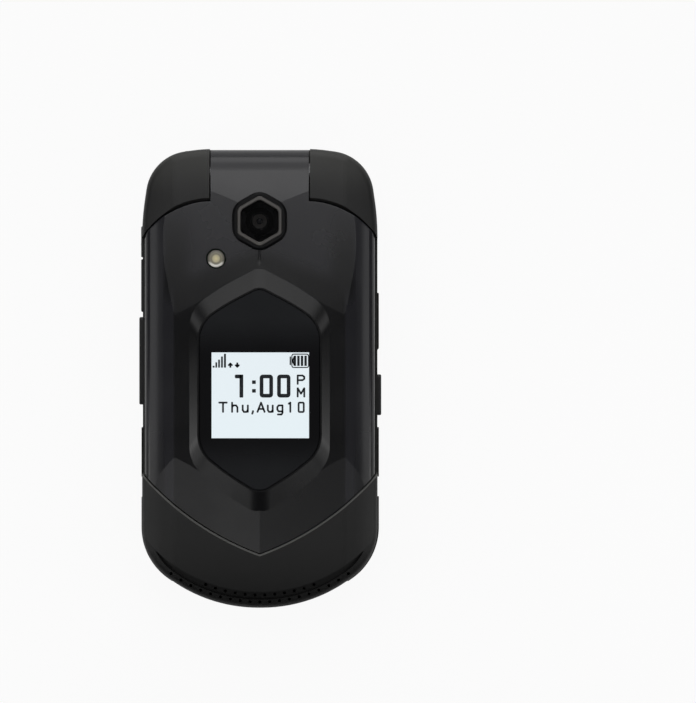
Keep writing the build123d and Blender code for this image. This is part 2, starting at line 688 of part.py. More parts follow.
# keypad: name, centre, size, corner radius
KEYS = {
    "soft_key_left": ((-17.6, 28.2), (14.6, 8.6), 2.6),
    "soft_key_right": ((17.6, 28.2), (14.6, 8.6), 2.6),
    "send_key": ((-17.6, 15.2), (14.6, 8.6), 2.6),
    "end_key": ((17.6, 15.2), (14.6, 8.6), 2.6),
    "clear_key": ((0, 8.4), (NUMBER_SIZE[0], 6.2), 1.8),
}
for row, names in enumerate(NUMBER_KEYS):
    for column, name in enumerate(names):
        lift = NUMBER_LIFT if column != 1 else 0.0
        centre = ((column - 1) * KEY_PITCH[0], NUMBER_TOP_Y - row * KEY_PITCH[1] + lift)
        KEYS[name] = (centre, NUMBER_SIZE, 1.8)
NAV_AT = (0.0, 23.0)
NAV_SIZE = (19.0, 19.0)
NAV_R = 6.0
OK_SIZE = (8.4, 8.4)
OK_R = 2.4


def key_sketch(size, corner_r, grow=0.0):
    with BuildSketch() as shape:
        RectangleRounded(size[0] + 2 * grow, size[1] + 2 * grow, corner_r + grow)
    return shape.sketch


with BuildSketch() as key_holes:
    for centre, size, corner_r in KEYS.values():
        with Locations(centre):
            add(key_sketch(size, corner_r, KEY_GAP))
    with Locations(NAV_AT):
        add(key_sketch(NAV_SIZE, NAV_R, KEY_GAP))


def side_plane(sign, x):
    """Plane facing out of one side, with local y up; local x runs along +Y on the right, -Y on the left."""
    return Plane(origin=(sign * x, 0, 0), x_dir=(0, sign, 0), z_dir=(sign, 0, 0))


def side_window(y_range, sign, grow=0.12):
    """Opening through the side wall, drawn on a side plane."""
    low, high = y_range
    with BuildSketch() as opening:
        with Locations((sign * (low + high) / 2, sum(SIDE_KEY_Z) / 2)):
            RectangleRounded(high - low + 2 * grow, SIDE_KEY_Z[1] - SIDE_KEY_Z[0] + 2 * grow, 0.8)
    return opening.sketch


def flap(length, height, thick):
    """Port cover lying on local XY, turning about its rounded end on local y; local z points out."""
    half = thick / 2
    with BuildPart() as cover:
        with BuildSketch(Plane.XZ.offset(-height / 2)):
            with BuildLine():
                Line((0, half), (length - half, half))
                Line((length - half, half), (length - half, -half))
                Line((length - half, -half), (0, -half))
                ThreePointArc((0, -half), (-half, 0), (0, half))
            make_face()
        extrude(amount=height)
        free_end = cover.faces().sort_by(Axis.X)[-1]
        chamfer(free_end.edges(), length=0.2)
    return cover.part


def flap_seat(length, height, thick, gap=0.15):
    with BuildPart() as seat:
        with Locations((-thick / 2 - gap, 0, -thick / 2 - 0.05)):
            Box(length + 2 * gap, height + 2 * gap, 4, align=(Align.MIN, Align.CENTER, Align.MIN))
    return seat.part


USB_FRAME = Plane(
    origin=(BASE_SIDE + SIDE_PROUD - FLAP_THICK / 2, USB_Y[0] + FLAP_THICK / 2, sum(SIDE_KEY_Z) / 2),
    x_dir=(0, 1, 0), z_dir=(1, 0, 0),
)
HEADSET_FRAME = Plane(
    origin=(HEADSET_X - HEADSET_W / 2 + FLAP_THICK / 2, HALF_LENGTH - HEADSET_SINK - FLAP_THICK / 2, HEADSET_Z),
    x_dir=(1, 0, 0), z_dir=(0, 1, 0),
)

with BuildPart() as usb_cover:
    add(USB_FRAME * flap(USB_Y[1] - USB_Y[0], SIDE_KEY_Z[1] - SIDE_KEY_Z[0], FLAP_THICK))
with BuildPart() as headset_cover:
    add(HEADSET_FRAME * flap(HEADSET_W, HEADSET_H, FLAP_THICK))

with BuildPart() as usb_seat:
    add(USB_FRAME * flap_seat(USB_Y[1] - USB_Y[0], SIDE_KEY_Z[1] - SIDE_KEY_Z[0], FLAP_THICK))
    with BuildSketch(side_plane(1, 20)):
        with Locations((sum(USB_Y) / 2, USB_PORT_Z)):
            RectangleRounded(7.8, USB_PORT_H + 0.2, 0.7)
    extrude(amount=9)
with BuildPart() as headset_seat:
    add(HEADSET_FRAME * flap_seat(HEADSET_W, HEADSET_H, FLAP_THICK))
    with Locations((HEADSET_X, HALF_LENGTH, HEADSET_Z)):
        Cylinder(radius=2.4, height=13.0, rotation=(90, 0, 0), align=(Align.CENTER, Align.CENTER, Align.MIN))

with BuildSketch() as grip_windows:
    for low, high in GRIP_Y:
        with Locations((-BASE_SIDE, (low + high) / 2), (BASE_SIDE, (low + high) / 2)):
            Rectangle(17, high - low)

with BuildPart() as side_grips:
    with BuildSketch(Plane.XY.offset(GRIP_Z[0])):
        add(inset(BASE_PLAN, -SIDE_PROUD))
        add(inset(BASE_PLAN, 0.6), mode=Mode.SUBTRACT)
        add(grip_windows.sketch, mode=Mode.INTERSECT)
    extrude(amount=GRIP_Z[1] - GRIP_Z[0])

with BuildPart() as front_cover:
    with BuildSketch(Plane.XY.offset(PARTING_Z)):
        add(BASE_PLAN)
    extrude(amount=DECK_Z - PARTING_Z)
    add(towers.part)
    add(chin.part)
    # hollow under the deck, up to the hinge block
    with BuildSketch(Plane.XY.offset(PARTING_Z)) as hollow:
        add(inset(BASE_PLAN, WALL))
        with Locations((0, NECK_Y)):
            Rectangle(80, 40, align=(Align.CENTER, Align.MIN), mode=Mode.SUBTRACT)
    extrude(amount=DECK_Z - DECK_THICK - PARTING_Z, mode=Mode.SUBTRACT)
    # knuckle channel and the gap behind it
    with Locations((0, HINGE_Y, HINGE_Z)):
        Cylinder(radius=CHANNEL_R, height=2 * CHANNEL_X, rotation=(0, 90, 0), mode=Mode.SUBTRACT)
    with Locations((0, NECK_Y + 1.6, BACK_WALL_Z)):
        Box(2 * CHANNEL_X, 20, 20, align=(Align.CENTER, Align.MIN, Align.MIN), mode=Mode.SUBTRACT)
    # bores for the pivot pin and the cam head
    with Locations((-CHANNEL_X, HINGE_Y, HINGE_Z)):
        Cylinder(radius=PIN_R, height=6, rotation=(0, 90, 0), align=(Align.CENTER, Align.CENTER, Align.MAX),
                 mode=Mode.SUBTRACT)
    with Locations((CHANNEL_X, HINGE_Y, HINGE_Z)):
        Cylinder(radius=CAM_HEAD_R + RUNNING, height=4.4, rotation=(0, 90, 0),
                 align=(Align.CENTER, Align.CENTER, Align.MIN), mode=Mode.SUBTRACT)
    # grille
    add(grille_groove.part, mode=Mode.SUBTRACT)
    extrude(to_extrude=grille_holes.sketch, amount=10, mode=Mode.SUBTRACT)
    # loudspeaker pocket in the chin
    with Locations((0, -47.9, DECK_Z - DECK_THICK)):
        Box(25, 7.0, 4.4, align=(Align.CENTER, Align.CENTER, Align.MIN), mode=Mode.SUBTRACT)
    # key holes
    with BuildSketch(Plane.XY.offset(PARTING_Z)):
        add(key_holes.sketch)
    extrude(amount=8, mode=Mode.SUBTRACT)
    # screw posts
    with Locations(*[(sx * x, y, PARTING_Z) for x, y in CHASSIS_SCREWS for sx in (-1, 1)]):
        Cylinder(radius=CHASSIS_POST_R, height=5.2, align=(Align.CENTER, Align.CENTER, Align.MIN))
        Cylinder(radius=0.8, height=3.3, align=(Align.CENTER, Align.CENTER, Align.MIN), mode=Mode.SUBTRACT)
    # windows in the side walls for the side keys, and seats for the two port covers
    for sign, y_range in ((-1, VOLUME_Y), (-1, PTT_Y), (1, SPEAKER_Y)):
        with BuildSketch(side_plane(sign, BASE_SIDE - 2.2)):
            add(side_window(y_range, sign))
        extrude(amount=4, mode=Mode.SUBTRACT)
    add(usb_seat.part, mode=Mode.SUBTRACT)
    add(headset_seat.part, mode=Mode.SUBTRACT)
    add(side_grips.part, mode=Mode.SUBTRACT)
write(front_cover, "front_cover")

with BuildPart() as rear_case:
    with BuildSketch(Plane.XY.offset(REAR_Z)):
        add(BASE_PLAN)
    extrude(amount=PARTING_Z - REAR_Z)
    chamfer(rear_case.faces().sort_by(Axis.Z)[0].edges(), length=REAR_CHAMFER)
    with BuildSketch(Plane.XY.offset(FLOOR_Z[1])):
        add(inset(BASE_PLAN, WALL))
        with Locations((0, NECK_Y + 8)):
            Rectangle(80, 40, align=(Align.CENTER, Align.MIN), mode=Mode.SUBTRACT)
    extrude(amount=5, mode=Mode.SUBTRACT)
    # battery bay, raised card seat and screw bosses
    with Locations((0, sum(BAY_Y) / 2, FLOOR_Z[0])):
        Box(2 * (BAY_HALF + BAY_WALL), BAY_Y[1] - BAY_Y[0] + 2 * BAY_WALL, BAY_ROOF_Z + 0.6 - FLOOR_Z[0],
            align=(Align.CENTER, Align.CENTER, Align.MIN))
    with Locations((*CARD_AT, FLOOR_Z[0])):
        Box(CARD_SIZE[0] + 2, CARD_SIZE[1] + 2, 2.6, align=(Align.CENTER, Align.CENTER, Align.MIN))
    with Locations(*[(sx * x, y, FLOOR_Z[0]) for x, y in CHASSIS_SCREWS for sx in (-1, 1)]):
        Cylinder(radius=1.9, height=PARTING_Z - FLOOR_Z[0], align=(Align.CENTER, Align.CENTER, Align.MIN))
        Cylinder(radius=0.9, height=10, mode=Mode.SUBTRACT)
    with Locations(*[(sx * x, y, FLOOR_Z[0]) for x, y in CHASSIS_SCREWS for sx in (-1, 1)]):
        Cylinder(radius=1.6, height=2.4, mode=Mode.SUBTRACT)
    # door recess, its seal groove, bay and card pockets
    with BuildSketch(Plane.XY.offset(REAR_Z - 1)):
        add(door_outline(DOOR_GAP))
    extrude(amount=FLOOR_Z[0] - REAR_Z + 1, mode=Mode.SUBTRACT)
    with BuildSketch(Plane.XY.offset(FLOOR_Z[0])):
        add(door_outline(-SEAL_INSET[0] + 0.1))
        add(door_outline(-SEAL_INSET[1] - 0.1), mode=Mode.SUBTRACT)
    extrude(amount=0.25, mode=Mode.SUBTRACT)
    with Locations((0, sum(BAY_Y) / 2, FLOOR_Z[0])):
        Box(2 * BAY_HALF, BAY_Y[1] - BAY_Y[0], BAY_ROOF_Z - FLOOR_Z[0],
            align=(Align.CENTER, Align.CENTER, Align.MIN), mode=Mode.SUBTRACT)
    with Locations((*CARD_AT, FLOOR_Z[0])):
        Box(*CARD_SIZE, 1.5, align=(Align.CENTER, Align.CENTER, Align.MIN), mode=Mode.SUBTRACT)
    # lock socket seat and charging contact seats
    with Locations((*LOCK_AT, FLOOR_Z[0])):
        Cylinder(radius=LOCK_SOCKET_R[1], height=8, mode=Mode.SUBTRACT)
    with BuildSketch(Plane.XY.offset(FLOOR_Z[0])):
        with Locations((-CONTACT_X, LOCK_AT[1]), (CONTACT_X, LOCK_AT[1])):
            SlotOverall(CONTACT_SIZE[1], CONTACT_SIZE[0], rotation=90)
    extrude(amount=6, mode=Mode.SUBTRACT)
    # grip grooves run on from the door over the bevelled sides
    with Locations(*[
        Location((sx * (BASE_SIDE - REAR_CHAMFER / 2), y, REAR_Z + REAR_CHAMFER / 2), (0, 45 * sx, 0))
        for y in SIDE_GROOVE_Y for sx in (-1, 1)
    ]):
        Box(8, 1.0, 0.7, mode=Mode.SUBTRACT)
    add(side_grips.part, mode=Mode.SUBTRACT)
write(rear_case, "rear_case")

with BuildPart() as battery:
    with Locations((0, (BAY_Y[0] + BAY_Y[1] - 1.6) / 2, FLOOR_Z[0] + 0.1)):
        Box(2 * BAY_HALF - 0.4, BAY_Y[1] - BAY_Y[0] - 2.0, BAY_ROOF_Z - FLOOR_Z[0] - 0.1,
            align=(Align.CENTER, Align.CENTER, Align.MIN))
    fillet(battery.edges().filter_by(Axis.Z), radius=1.5)
    fillet(battery.faces().sort_by(Axis.Z)[0].edges(), radius=0.5)
write(battery, "battery")

with BuildPart() as battery_contacts:
    with Locations((-8, BAY_Y[1], 4.0)):
        Box(10.5, 1.2, 2.8, align=(Align.CENTER, Align.MAX, Align.CENTER))
    with Locations(*[(-8 + 2.6 * (i - 1.5), BAY_Y[1] - 1.2, 4.0) for i in range(4)]):
        Box(1.2, 0.3, 2.0, align=(Align.CENTER, Align.MAX, Align.CENTER))
write(battery_contacts, "battery_contacts")

with BuildPart() as card_socket:
    with Locations((*CARD_AT, FLOOR_Z[0] + 1.5)):
        Box(CARD_SIZE[0] - 0.1, CARD_SIZE[1] - 0.1, 1.3, align=(Align.CENTER, Align.CENTER, Align.MAX))
    with Locations((CARD_AT[0], CARD_AT[1] + 1.0, FLOOR_Z[0] + 0.2)):
        Box(CARD_SIZE[0] - 3, CARD_SIZE[1] - 1.9, 0.8, align=(Align.CENTER, Align.CENTER, Align.MIN),
            mode=Mode.SUBTRACT)
write(card_socket, "card_socket")

with BuildPart() as lock_socket:
    with Locations((*LOCK_AT, FLOOR_Z[0])):
        Cylinder(radius=LOCK_SOCKET_R[1], height=2.0, align=(Align.CENTER, Align.CENTER, Align.MIN))
        Cylinder(radius=LOCK_SOCKET_R[0], height=1.5, align=(Align.CENTER, Align.CENTER, Align.MIN),
                 mode=Mode.SUBTRACT)
write(lock_socket, "lock_socket")

with BuildPart() as charging_contacts:
    with BuildSketch(Plane.XY.offset(REAR_Z + 0.05)):
        with Locations((-CONTACT_X, LOCK_AT[1]), (CONTACT_X, LOCK_AT[1])):
            SlotOverall(CONTACT_SIZE[1], CONTACT_SIZE[0], rotation=90)
    extrude(amount=BOARD_Z[0] - REAR_Z - 0.05)
    chamfer(charging_contacts.faces().sort_by(Axis.Z)[:2].edges(), length=0.3)
write(charging_contacts, "charging_contacts")

with BuildPart() as main_circuit_board:
    with BuildSketch(Plane.XY.offset(BOARD_Z[0])):
        add(inset(BASE_PLAN, WALL + 0.5))
        with Locations((0, NECK_Y - 0.4)):
            Rectangle(80, 40, align=(Align.CENTER, Align.MIN), mode=Mode.SUBTRACT)
        with Locations(*[(sx * x, y) for x, y in CHASSIS_SCREWS for sx in (-1, 1)]):
            Circle(CHASSIS_POST_R + 0.3, mode=Mode.SUBTRACT)
        for sign, (low, high), room in SIDE_ROOMS:
            with Locations((sign * BASE_SIDE, (low + high) / 2)):
                Rectangle(2 * room, high - low + 1.6, mode=Mode.SUBTRACT)
    extrude(amount=BOARD_Z[1] - BOARD_Z[0])
    with BuildSketch(Plane.XY.offset(BOARD_Z[0])):
        with Locations((-11, -42.5)):
            RectangleRounded(10, 8, 0.6)
        with Locations((0, 38)):
            RectangleRounded(24, 8, 0.6)
    extrude(amount=-1.6)
write(main_circuit_board, "main_circuit_board")

with BuildPart() as keypad_dome_sheet:
    with BuildSketch(Plane.XY.offset(BOARD_Z[1])):
        with Locations((0, 2)):
            RectangleRounded(48, 64, 4)
        with Locations(*[(sx * x, y) for x, y in CHASSIS_SCREWS for sx in (-1, 1)]):
            Circle(CHASSIS_POST_R + 0.3, mode=Mode.SUBTRACT)
        for sign, (low, high), room in SIDE_ROOMS:
            with Locations((sign * BASE_SIDE, (low + high) / 2)):
                Rectangle(2 * room, high - low + 1.6, mode=Mode.SUBTRACT)
    extrude(amount=0.2)
    with BuildSketch(Plane.XY.offset(BOARD_Z[1] + 0.2)):
        with Locations(*[centre for centre, _, _ in KEYS.values()], NAV_AT):
            Circle(2.3)
    extrude(amount=0.15, taper=20)
write(keypad_dome_sheet, "keypad_dome_sheet")

with BuildPart() as loudspeaker:
    with Locations((0, -47.9, DECK_Z - DECK_THICK + 4.4)):
        Box(24.6, 6.6, 4.0, align=(Align.CENTER, Align.CENTER, Align.MAX))
    fillet(loudspeaker.edges().filter_by(Axis.Z), radius=1.2)
write(loudspeaker, "loudspeaker")

with BuildPart() as vibration_motor:
    with Locations((12.5, -42.0, BOARD_Z[0])):
        Cylinder(radius=4.0, height=2.8, align=(Align.CENTER, Align.CENTER, Align.MAX))
    fillet(vibration_motor.faces().sort_by(Axis.Z)[0].edges(), radius=0.4)
write(vibration_motor, "vibration_motor")

with BuildPart() as usb_port:
    with BuildSketch(Plane(origin=(BASE_SIDE - PORT_DEEP, 0, 0), x_dir=(0, 1, 0), z_dir=(1, 0, 0))):
        with Locations((sum(USB_Y) / 2, USB_PORT_Z)):
            RectangleRounded(7.6, USB_PORT_H, 0.6)
    extrude(amount=-5.6)
    with BuildSketch(Plane(origin=(BASE_SIDE - PORT_DEEP, 0, 0), x_dir=(0, 1, 0), z_dir=(1, 0, 0))):
        with Locations((sum(USB_Y) / 2, USB_PORT_Z)):
            RectangleRounded(6.9, USB_PORT_H - 0.6, 0.4)
    extrude(amount=-4.6, mode=Mode.SUBTRACT)
    with Locations((BASE_SIDE - PORT_DEEP - 5.2, sum(USB_Y) / 2, USB_PORT_Z)):
        Box(4.0, 4.0, 0.6, align=(Align.MIN, Align.CENTER, Align.CENTER))
write(usb_port, "usb_port")

with BuildPart() as headset_jack:
    with Locations((HEADSET_X, HEADSET_JACK_Y, HEADSET_Z)):
        Cylinder(radius=2.4, height=10, rotation=(90, 0, 0), align=(Align.CENTER, Align.CENTER, Align.MIN))
        Cylinder(radius=1.75, height=9, rotation=(90, 0, 0), align=(Align.CENTER, Align.CENTER, Align.MIN),
                 mode=Mode.SUBTRACT)
write(headset_jack, "headset_jack")

with BuildPart() as hinge_pivot_pin:
    with Locations((-CHANNEL_X - 6, HINGE_Y, HINGE_Z)):
        Cylinder(radius=PIN_R, height=12.0, rotation=(0, 90, 0), align=(Align.CENTER, Align.CENTER, Align.MIN))
    chamfer(hinge_pivot_pin.faces().sort_by(Axis.X)[-1].edges(), length=0.4)
write(hinge_pivot_pin, "hinge_pivot_pin")

with BuildPart() as chassis_screws:
    with Locations(*[(sx * x, y, FLOOR_Z[0] + 0.3) for x, y in CHASSIS_SCREWS for sx in (-1, 1)]):
        Cylinder(radius=1.5, height=0.8, align=(Align.CENTER, Align.CENTER, Align.MIN))
        Cylinder(radius=0.8, height=6.6, align=(Align.CENTER, Align.CENTER, Align.MIN))
write(chassis_screws, "chassis_screws")
write(side_grips, "side_grips")

# ================================================================ door and its lock
def band_edge(top):
    """Arc across the door, highest in the middle."""
    reach = DOOR_SIDE + 2
    drop = BAND_R - sqrt(BAND_R**2 - reach**2)
    return (-reach, top - drop), (0, top), (reach, top - drop)


def band(top, bottom):
    upper, lower = band_edge(top), band_edge(bottom)
    with BuildSketch() as shape:
        with BuildLine():
            ThreePointArc(*upper)
            Line(upper[2], lower[2])
            ThreePointArc(*reversed(lower))
            Line(lower[0], upper[0])
        make_face()
        add(door_outline(-0.5), mode=Mode.INTERSECT)
    return shape.sketch


with BuildPart() as battery_door:
    with BuildSketch(Plane.XY.offset(DOOR_Z[0])):
        add(door_outline())
    extrude(amount=DOOR_Z[1] - DOOR_Z[0])
    chamfer(battery_door.faces().sort_by(Axis.Z)[0].edges(), length=0.3)
    for top, bottom in zip(BAND_TOPS, BAND_BOTTOMS):
        with BuildSketch():
            add(band(top, bottom))
        extrude(amount=DOOR_Z[0] + 0.3)
        crest = battery_door.faces().filter_by(Axis.Z).sort_by(Axis.Z)[0]
        upper = crest.edges().filter_by(GeomType.CIRCLE).sort_by(Axis.Y)[-1]
        chamfer(upper, length=BAND_CHAMFER[0], length2=BAND_CHAMFER[1], reference=crest)
        with BuildSketch(Plane.XY.offset(DOOR_Z[0])):
            add(band(bottom, bottom - 0.9))
        extrude(amount=0.4, mode=Mode.SUBTRACT)
    with Locations((*LOCK_AT, 1.05)):
        Cylinder(radius=LOCK_R + 0.3, height=3, align=(Align.CENTER, Align.CENTER, Align.MAX), mode=Mode.SUBTRACT)
        Cylinder(radius=2.25, height=3, mode=Mode.SUBTRACT)
    with BuildSketch():
        with Locations((-CONTACT_X, LOCK_AT[1]), (CONTACT_X, LOCK_AT[1])):
            SlotOverall(CONTACT_SIZE[1] + 0.5, CONTACT_SIZE[0] + 0.5, rotation=90)
    extrude(amount=3, mode=Mode.SUBTRACT)
    with Locations((*MIC_AT, 0)):
        Cylinder(radius=0.5, height=5, mode=Mode.SUBTRACT)
write(battery_door, "battery_door")

with BuildPart() as door_seal:
    with BuildSketch(Plane.XY.offset(DOOR_Z[1])):
        add(door_outline(-SEAL_INSET[0]))
        add(door_outline(-SEAL_INSET[1]), mode=Mode.SUBTRACT)
    extrude(amount=0.45)
write(door_seal, "door_seal")

with BuildPart() as lock_screw:
    with Locations((*LOCK_AT, 0.1)):
        Cylinder(radius=LOCK_R, height=0.85, align=(Align.CENTER, Align.CENTER, Align.MIN))
    fillet(lock_screw.faces().sort_by(Axis.Z)[0].edges(), radius=0.3)
    with Locations(Location((*LOCK_AT, 0.1), (0, 0, 45))):
        Box(8.2, 1.3, 1.0, mode=Mode.SUBTRACT)
    with Locations((*LOCK_AT, 0.9)):
        Cylinder(radius=2.2, height=2.2, align=(Align.CENTER, Align.CENTER, Align.MIN))
    with Locations(Location((*LOCK_AT, 2.0), (0, 0, 45))):
        Box(6.6, 2.6, 1.1, align=(Align.CENTER, Align.CENTER, Align.MIN))
write(lock_screw, "lock_screw")

# ================================================================ keys on the deck
def deck_key(name, centre, size, corner_r):
    with BuildPart() as key:
        with BuildSketch(Plane.XY.offset(KEY_FOOT_Z + 0.6)):
            with Locations(centre):
                add(key_sketch(size, corner_r))
        extrude(amount=KEY_TOP_Z - KEY_FOOT_Z - 0.6)
        fillet(key.faces().sort_by(Axis.Z)[-1].edges(), radius=0.4)
        with BuildSketch(Plane.XY.offset(KEY_FOOT_Z + 0.6)):
            with Locations(centre):
                Rectangle(size[0] - 4, size[1] + 2 * KEY_FLANGE)
        extrude(amount=0.5)
        with BuildSketch(Plane.XY.offset(KEY_FOOT_Z)):
            with Locations(centre):
                Circle(1.8)
        extrude(amount=1)
    write(key, name)


for name, (centre, size, corner_r) in KEYS.items():
    deck_key(name, centre, size, corner_r)

with BuildPart() as nav_ring:
    with BuildSketch(Plane.XY.offset(KEY_FOOT_Z + 0.6)):
        with Locations(NAV_AT):
            add(key_sketch(NAV_SIZE, NAV_R))
    extrude(amount=KEY_TOP_Z - KEY_FOOT_Z - 0.6)
    fillet(nav_ring.faces().sort_by(Axis.Z)[-1].edges(), radius=0.5)
    with BuildSketch(Plane.XY.offset(KEY_FOOT_Z + 0.6)):
        with Locations(NAV_AT):
            Rectangle(8, NAV_SIZE[1] + 2 * KEY_FLANGE)
            Rectangle(NAV_SIZE[0] + 2 * KEY_FLANGE, 8)
    extrude(amount=0.5)
    with BuildSketch(Plane.XY.offset(KEY_FOOT_Z)):
        with Locations(NAV_AT):
            with PolarLocations(7.2, 4):
                Circle(1.2)
    extrude(amount=1)
    with BuildSketch(Plane.XY.offset(KEY_FOOT_Z)):
        with Locations(NAV_AT):
            add(key_sketch(OK_SIZE, OK_R, KEY_GAP))
    extrude(amount=5, mode=Mode.SUBTRACT)
    chamfer(nav_ring.faces().sort_by(Axis.Z)[-1].inner_wires()[0].edges(), length=0.4)
write(nav_ring, "nav_ring")

with BuildPart() as ok_key:
    with BuildSketch(Plane.XY.offset(KEY_FOOT_Z + 0.4)):
        with Locations(NAV_AT):
            add(key_sketch(OK_SIZE, OK_R))
    extrude(amount=KEY_TOP_Z - KEY_FOOT_Z - 0.4)
    fillet(ok_key.faces().sort_by(Axis.Z)[-1].edges(), radius=0.4)
    with BuildSketch(Plane.XY.offset(KEY_FOOT_Z)):
        with Locations(NAV_AT):
            Circle(1.8)
    extrude(amount=1)
write(ok_key, "ok_key")


# ================================================================ side keys and port covers
def side_key(name, sign, y_range, stand_out):
    """Cap in the wall's window, a flange behind the wall and two feet."""
    low, high = y_range
    middle = ((low + high) / 2, sum(SIDE_KEY_Z) / 2)
    length, height = high - low, SIDE_KEY_Z[1] - SIDE_KEY_Z[0]
    flange_x = BASE_SIDE - WALL - 0.75
    with BuildPart() as key:
        with BuildSketch(side_plane(sign, flange_x)):
            with Locations((sign * middle[0], middle[1])):
                RectangleRounded(length, height, 0.7)
        extrude(amount=BASE_SIDE + stand_out - flange_x)
        outer = key.faces().sort_by(Axis.X)[-1 if sign > 0 else 0]
        fillet(outer.edges(), radius=0.35)
        with BuildSketch(side_plane(sign, flange_x)):
            with Locations((sign * middle[0], middle[1])):
                Rectangle(length + 0.9, height - 0.6)
        extrude(amount=0.6)
        with BuildSketch(side_plane(sign, flange_x)):
            with Locations(*[(sign * (middle[0] + d), middle[1]) for d in (-length / 4, length / 4)]):
                Rectangle(1.6, 1.6)
        extrude(amount=-0.6)
        if name == "volume_rocker":
            with BuildSketch(Plane.XY.offset(SIDE_KEY_Z[0] - 1)):
                with BuildLine():
                    tip_x = sign * (BASE_SIDE - 0.2)
                    out_x = sign * (BASE_SIDE + 1.5)
                    at_y, half = VOLUME_NOTCH
                    Polyline((tip_x, at_y), (out_x, at_y + half), (out_x, at_y - half), close=True)
                make_face()
            extrude(amount=8, mode=Mode.SUBTRACT)
    write(key, name)


side_key("volume_rocker", -1, VOLUME_Y, 0.5)
side_key("ptt_key", -1, PTT_Y, SIDE_REACH)
side_key("speaker_key", 1, SPEAKER_Y, SIDE_REACH)
write(usb_cover, "usb_cover")
write(headset_cover, "headset_cover")
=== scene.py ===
# %% [markdown]
# # A rugged flip phone: finishes, prints and light
# The solids of the phone come from CAD and stay as they are. This file gives each of them its
# finish, adds what is too thin to be a solid (prints, legends, lens rings) and sets up a plain
# studio. Everything is in metres, in the frame of the CAD model: +Z out of the lid, +Y towards the
# hinge.

import json
from math import cos, pi, radians, sin

import bmesh
import bpy
from mathutils import Matrix, Vector


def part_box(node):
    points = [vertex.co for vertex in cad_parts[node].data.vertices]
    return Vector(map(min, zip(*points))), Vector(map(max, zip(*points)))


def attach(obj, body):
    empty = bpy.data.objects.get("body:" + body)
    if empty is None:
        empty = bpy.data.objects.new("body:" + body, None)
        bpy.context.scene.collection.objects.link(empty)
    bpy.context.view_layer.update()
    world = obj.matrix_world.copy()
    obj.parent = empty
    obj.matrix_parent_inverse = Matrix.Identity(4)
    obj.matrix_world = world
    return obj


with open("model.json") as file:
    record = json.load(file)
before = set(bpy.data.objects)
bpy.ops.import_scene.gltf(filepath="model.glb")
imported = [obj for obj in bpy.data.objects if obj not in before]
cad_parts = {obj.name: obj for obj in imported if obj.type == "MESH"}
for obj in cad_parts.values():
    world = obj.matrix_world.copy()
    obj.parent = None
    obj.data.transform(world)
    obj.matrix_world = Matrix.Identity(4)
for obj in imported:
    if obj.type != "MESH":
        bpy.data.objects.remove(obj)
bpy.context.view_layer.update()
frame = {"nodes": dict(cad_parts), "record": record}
MM = 0.001

# %% [markdown]
# ## Camera
# The phone is seen square on from far away, so that its sides hardly show. A long lens a metre and
# a half up does that. The frame is wider than the phone, which stands left of the middle.

# %% Camera
VIEW_HEIGHT = 171.6 * MM        # height of the picture at the lid
VIEW_CENTRE = Vector((21.5, 6.6, 16.0)) * MM
LENS = 300.0
SENSOR = 36.0

camera_data = bpy.data.cameras.new("camera")
camera_data.lens = LENS
camera_data.sensor_fit = "VERTICAL"
camera_data.sensor_height = SENSOR
camera = bpy.data.objects.new("camera", camera_data)
camera.location = VIEW_CENTRE + Vector((0, 0, VIEW_HEIGHT * LENS / SENSOR))
bpy.context.scene.collection.objects.link(camera)
bpy.context.scene.camera = camera
bpy.context.scene.view_settings.view_transform = "Standard"
print("camera", round(camera.location.z, 3), "m up")

# %% [markdown]
# ## Light
# Black plastic is drawn by what it mirrors. Directly behind the camera it is dark, so flat faces
# stay dark. Three boxes towards the hinge light everything that bends that way, and one on each
# side lights the flanks. Small boxes towards the chin set its facets apart, brighter on the left
# than on the right, and one from below shows the back.


# %% Soft boxes
def soft_box(name, aim, distance, tilt, turn, size, radiance):
    """Area lamp that looks at a point, so many degrees off the vertical, from a compass turn."""
    tilt, turn = radians(tilt), radians(turn)
    lamp = bpy.data.lights.new(name, "AREA")
    lamp.shape = "RECTANGLE"
    lamp.size, lamp.size_y = size
    lamp.energy = radiance * pi * size[0] * size[1]
    box = bpy.data.objects.new(name, lamp)
    outward = Vector((sin(tilt) * cos(turn), sin(tilt) * sin(turn), cos(tilt)))
    box.location = aim + outward * distance
    box.rotation_euler = outward.to_track_quat("Z", "Y").to_euler()
    box.visible_camera = False
    bpy.context.scene.collection.objects.link(box)


MIDDLE = Vector((0, 0, 15 * MM))
CHIN = Vector((0, -52 * MM, 15 * MM))
FAR, NEAR = 0.60, 0.20          # metres from the point that a box is aimed at
BOXES = (
    ("box_overhead", MIDDLE, FAR, 17, 90, (0.28, 0.115), 2.6),
    ("box_hinge_end", MIDDLE, FAR, 40, 90, (0.60, 0.42), 1.05),
    ("box_hinge_low", MIDDLE, FAR, 72, 90, (0.60, 0.29), 1.7),
    ("box_left", MIDDLE, FAR, 42, 184, (0.50, 0.15), 1.12),
    ("box_right", MIDDLE, FAR, 42, -4, (0.50, 0.15), 1.1),
    ("box_chin_left", MIDDLE, FAR, 40, 234, (0.16, 0.16), 1.0),
    ("box_chin_right", MIDDLE, FAR, 40, 306, (0.16, 0.16), 0.8),
    ("box_below", MIDDLE, FAR, 142, 90, (0.60, 0.36), 1.8),
    ("box_near_left", CHIN, NEAR, 64, 180, (0.08, 0.08), 2.2),
    ("box_near_right", CHIN, NEAR, 64, 0, (0.08, 0.08), 2.0),
    ("box_keel_left", MIDDLE, FAR, 19, 250, (0.16, 0.12), 1.2),
    ("box_keel_right", MIDDLE, FAR, 19, 290, (0.16, 0.12), 0.5),
)
for settings in BOXES:
    soft_box(*settings)
print("soft boxes", len(BOXES))

# %% [markdown]
# ## Node helpers
# Small functions that add a shader node and return its output. What they take may be another
# node's socket or a plain value.


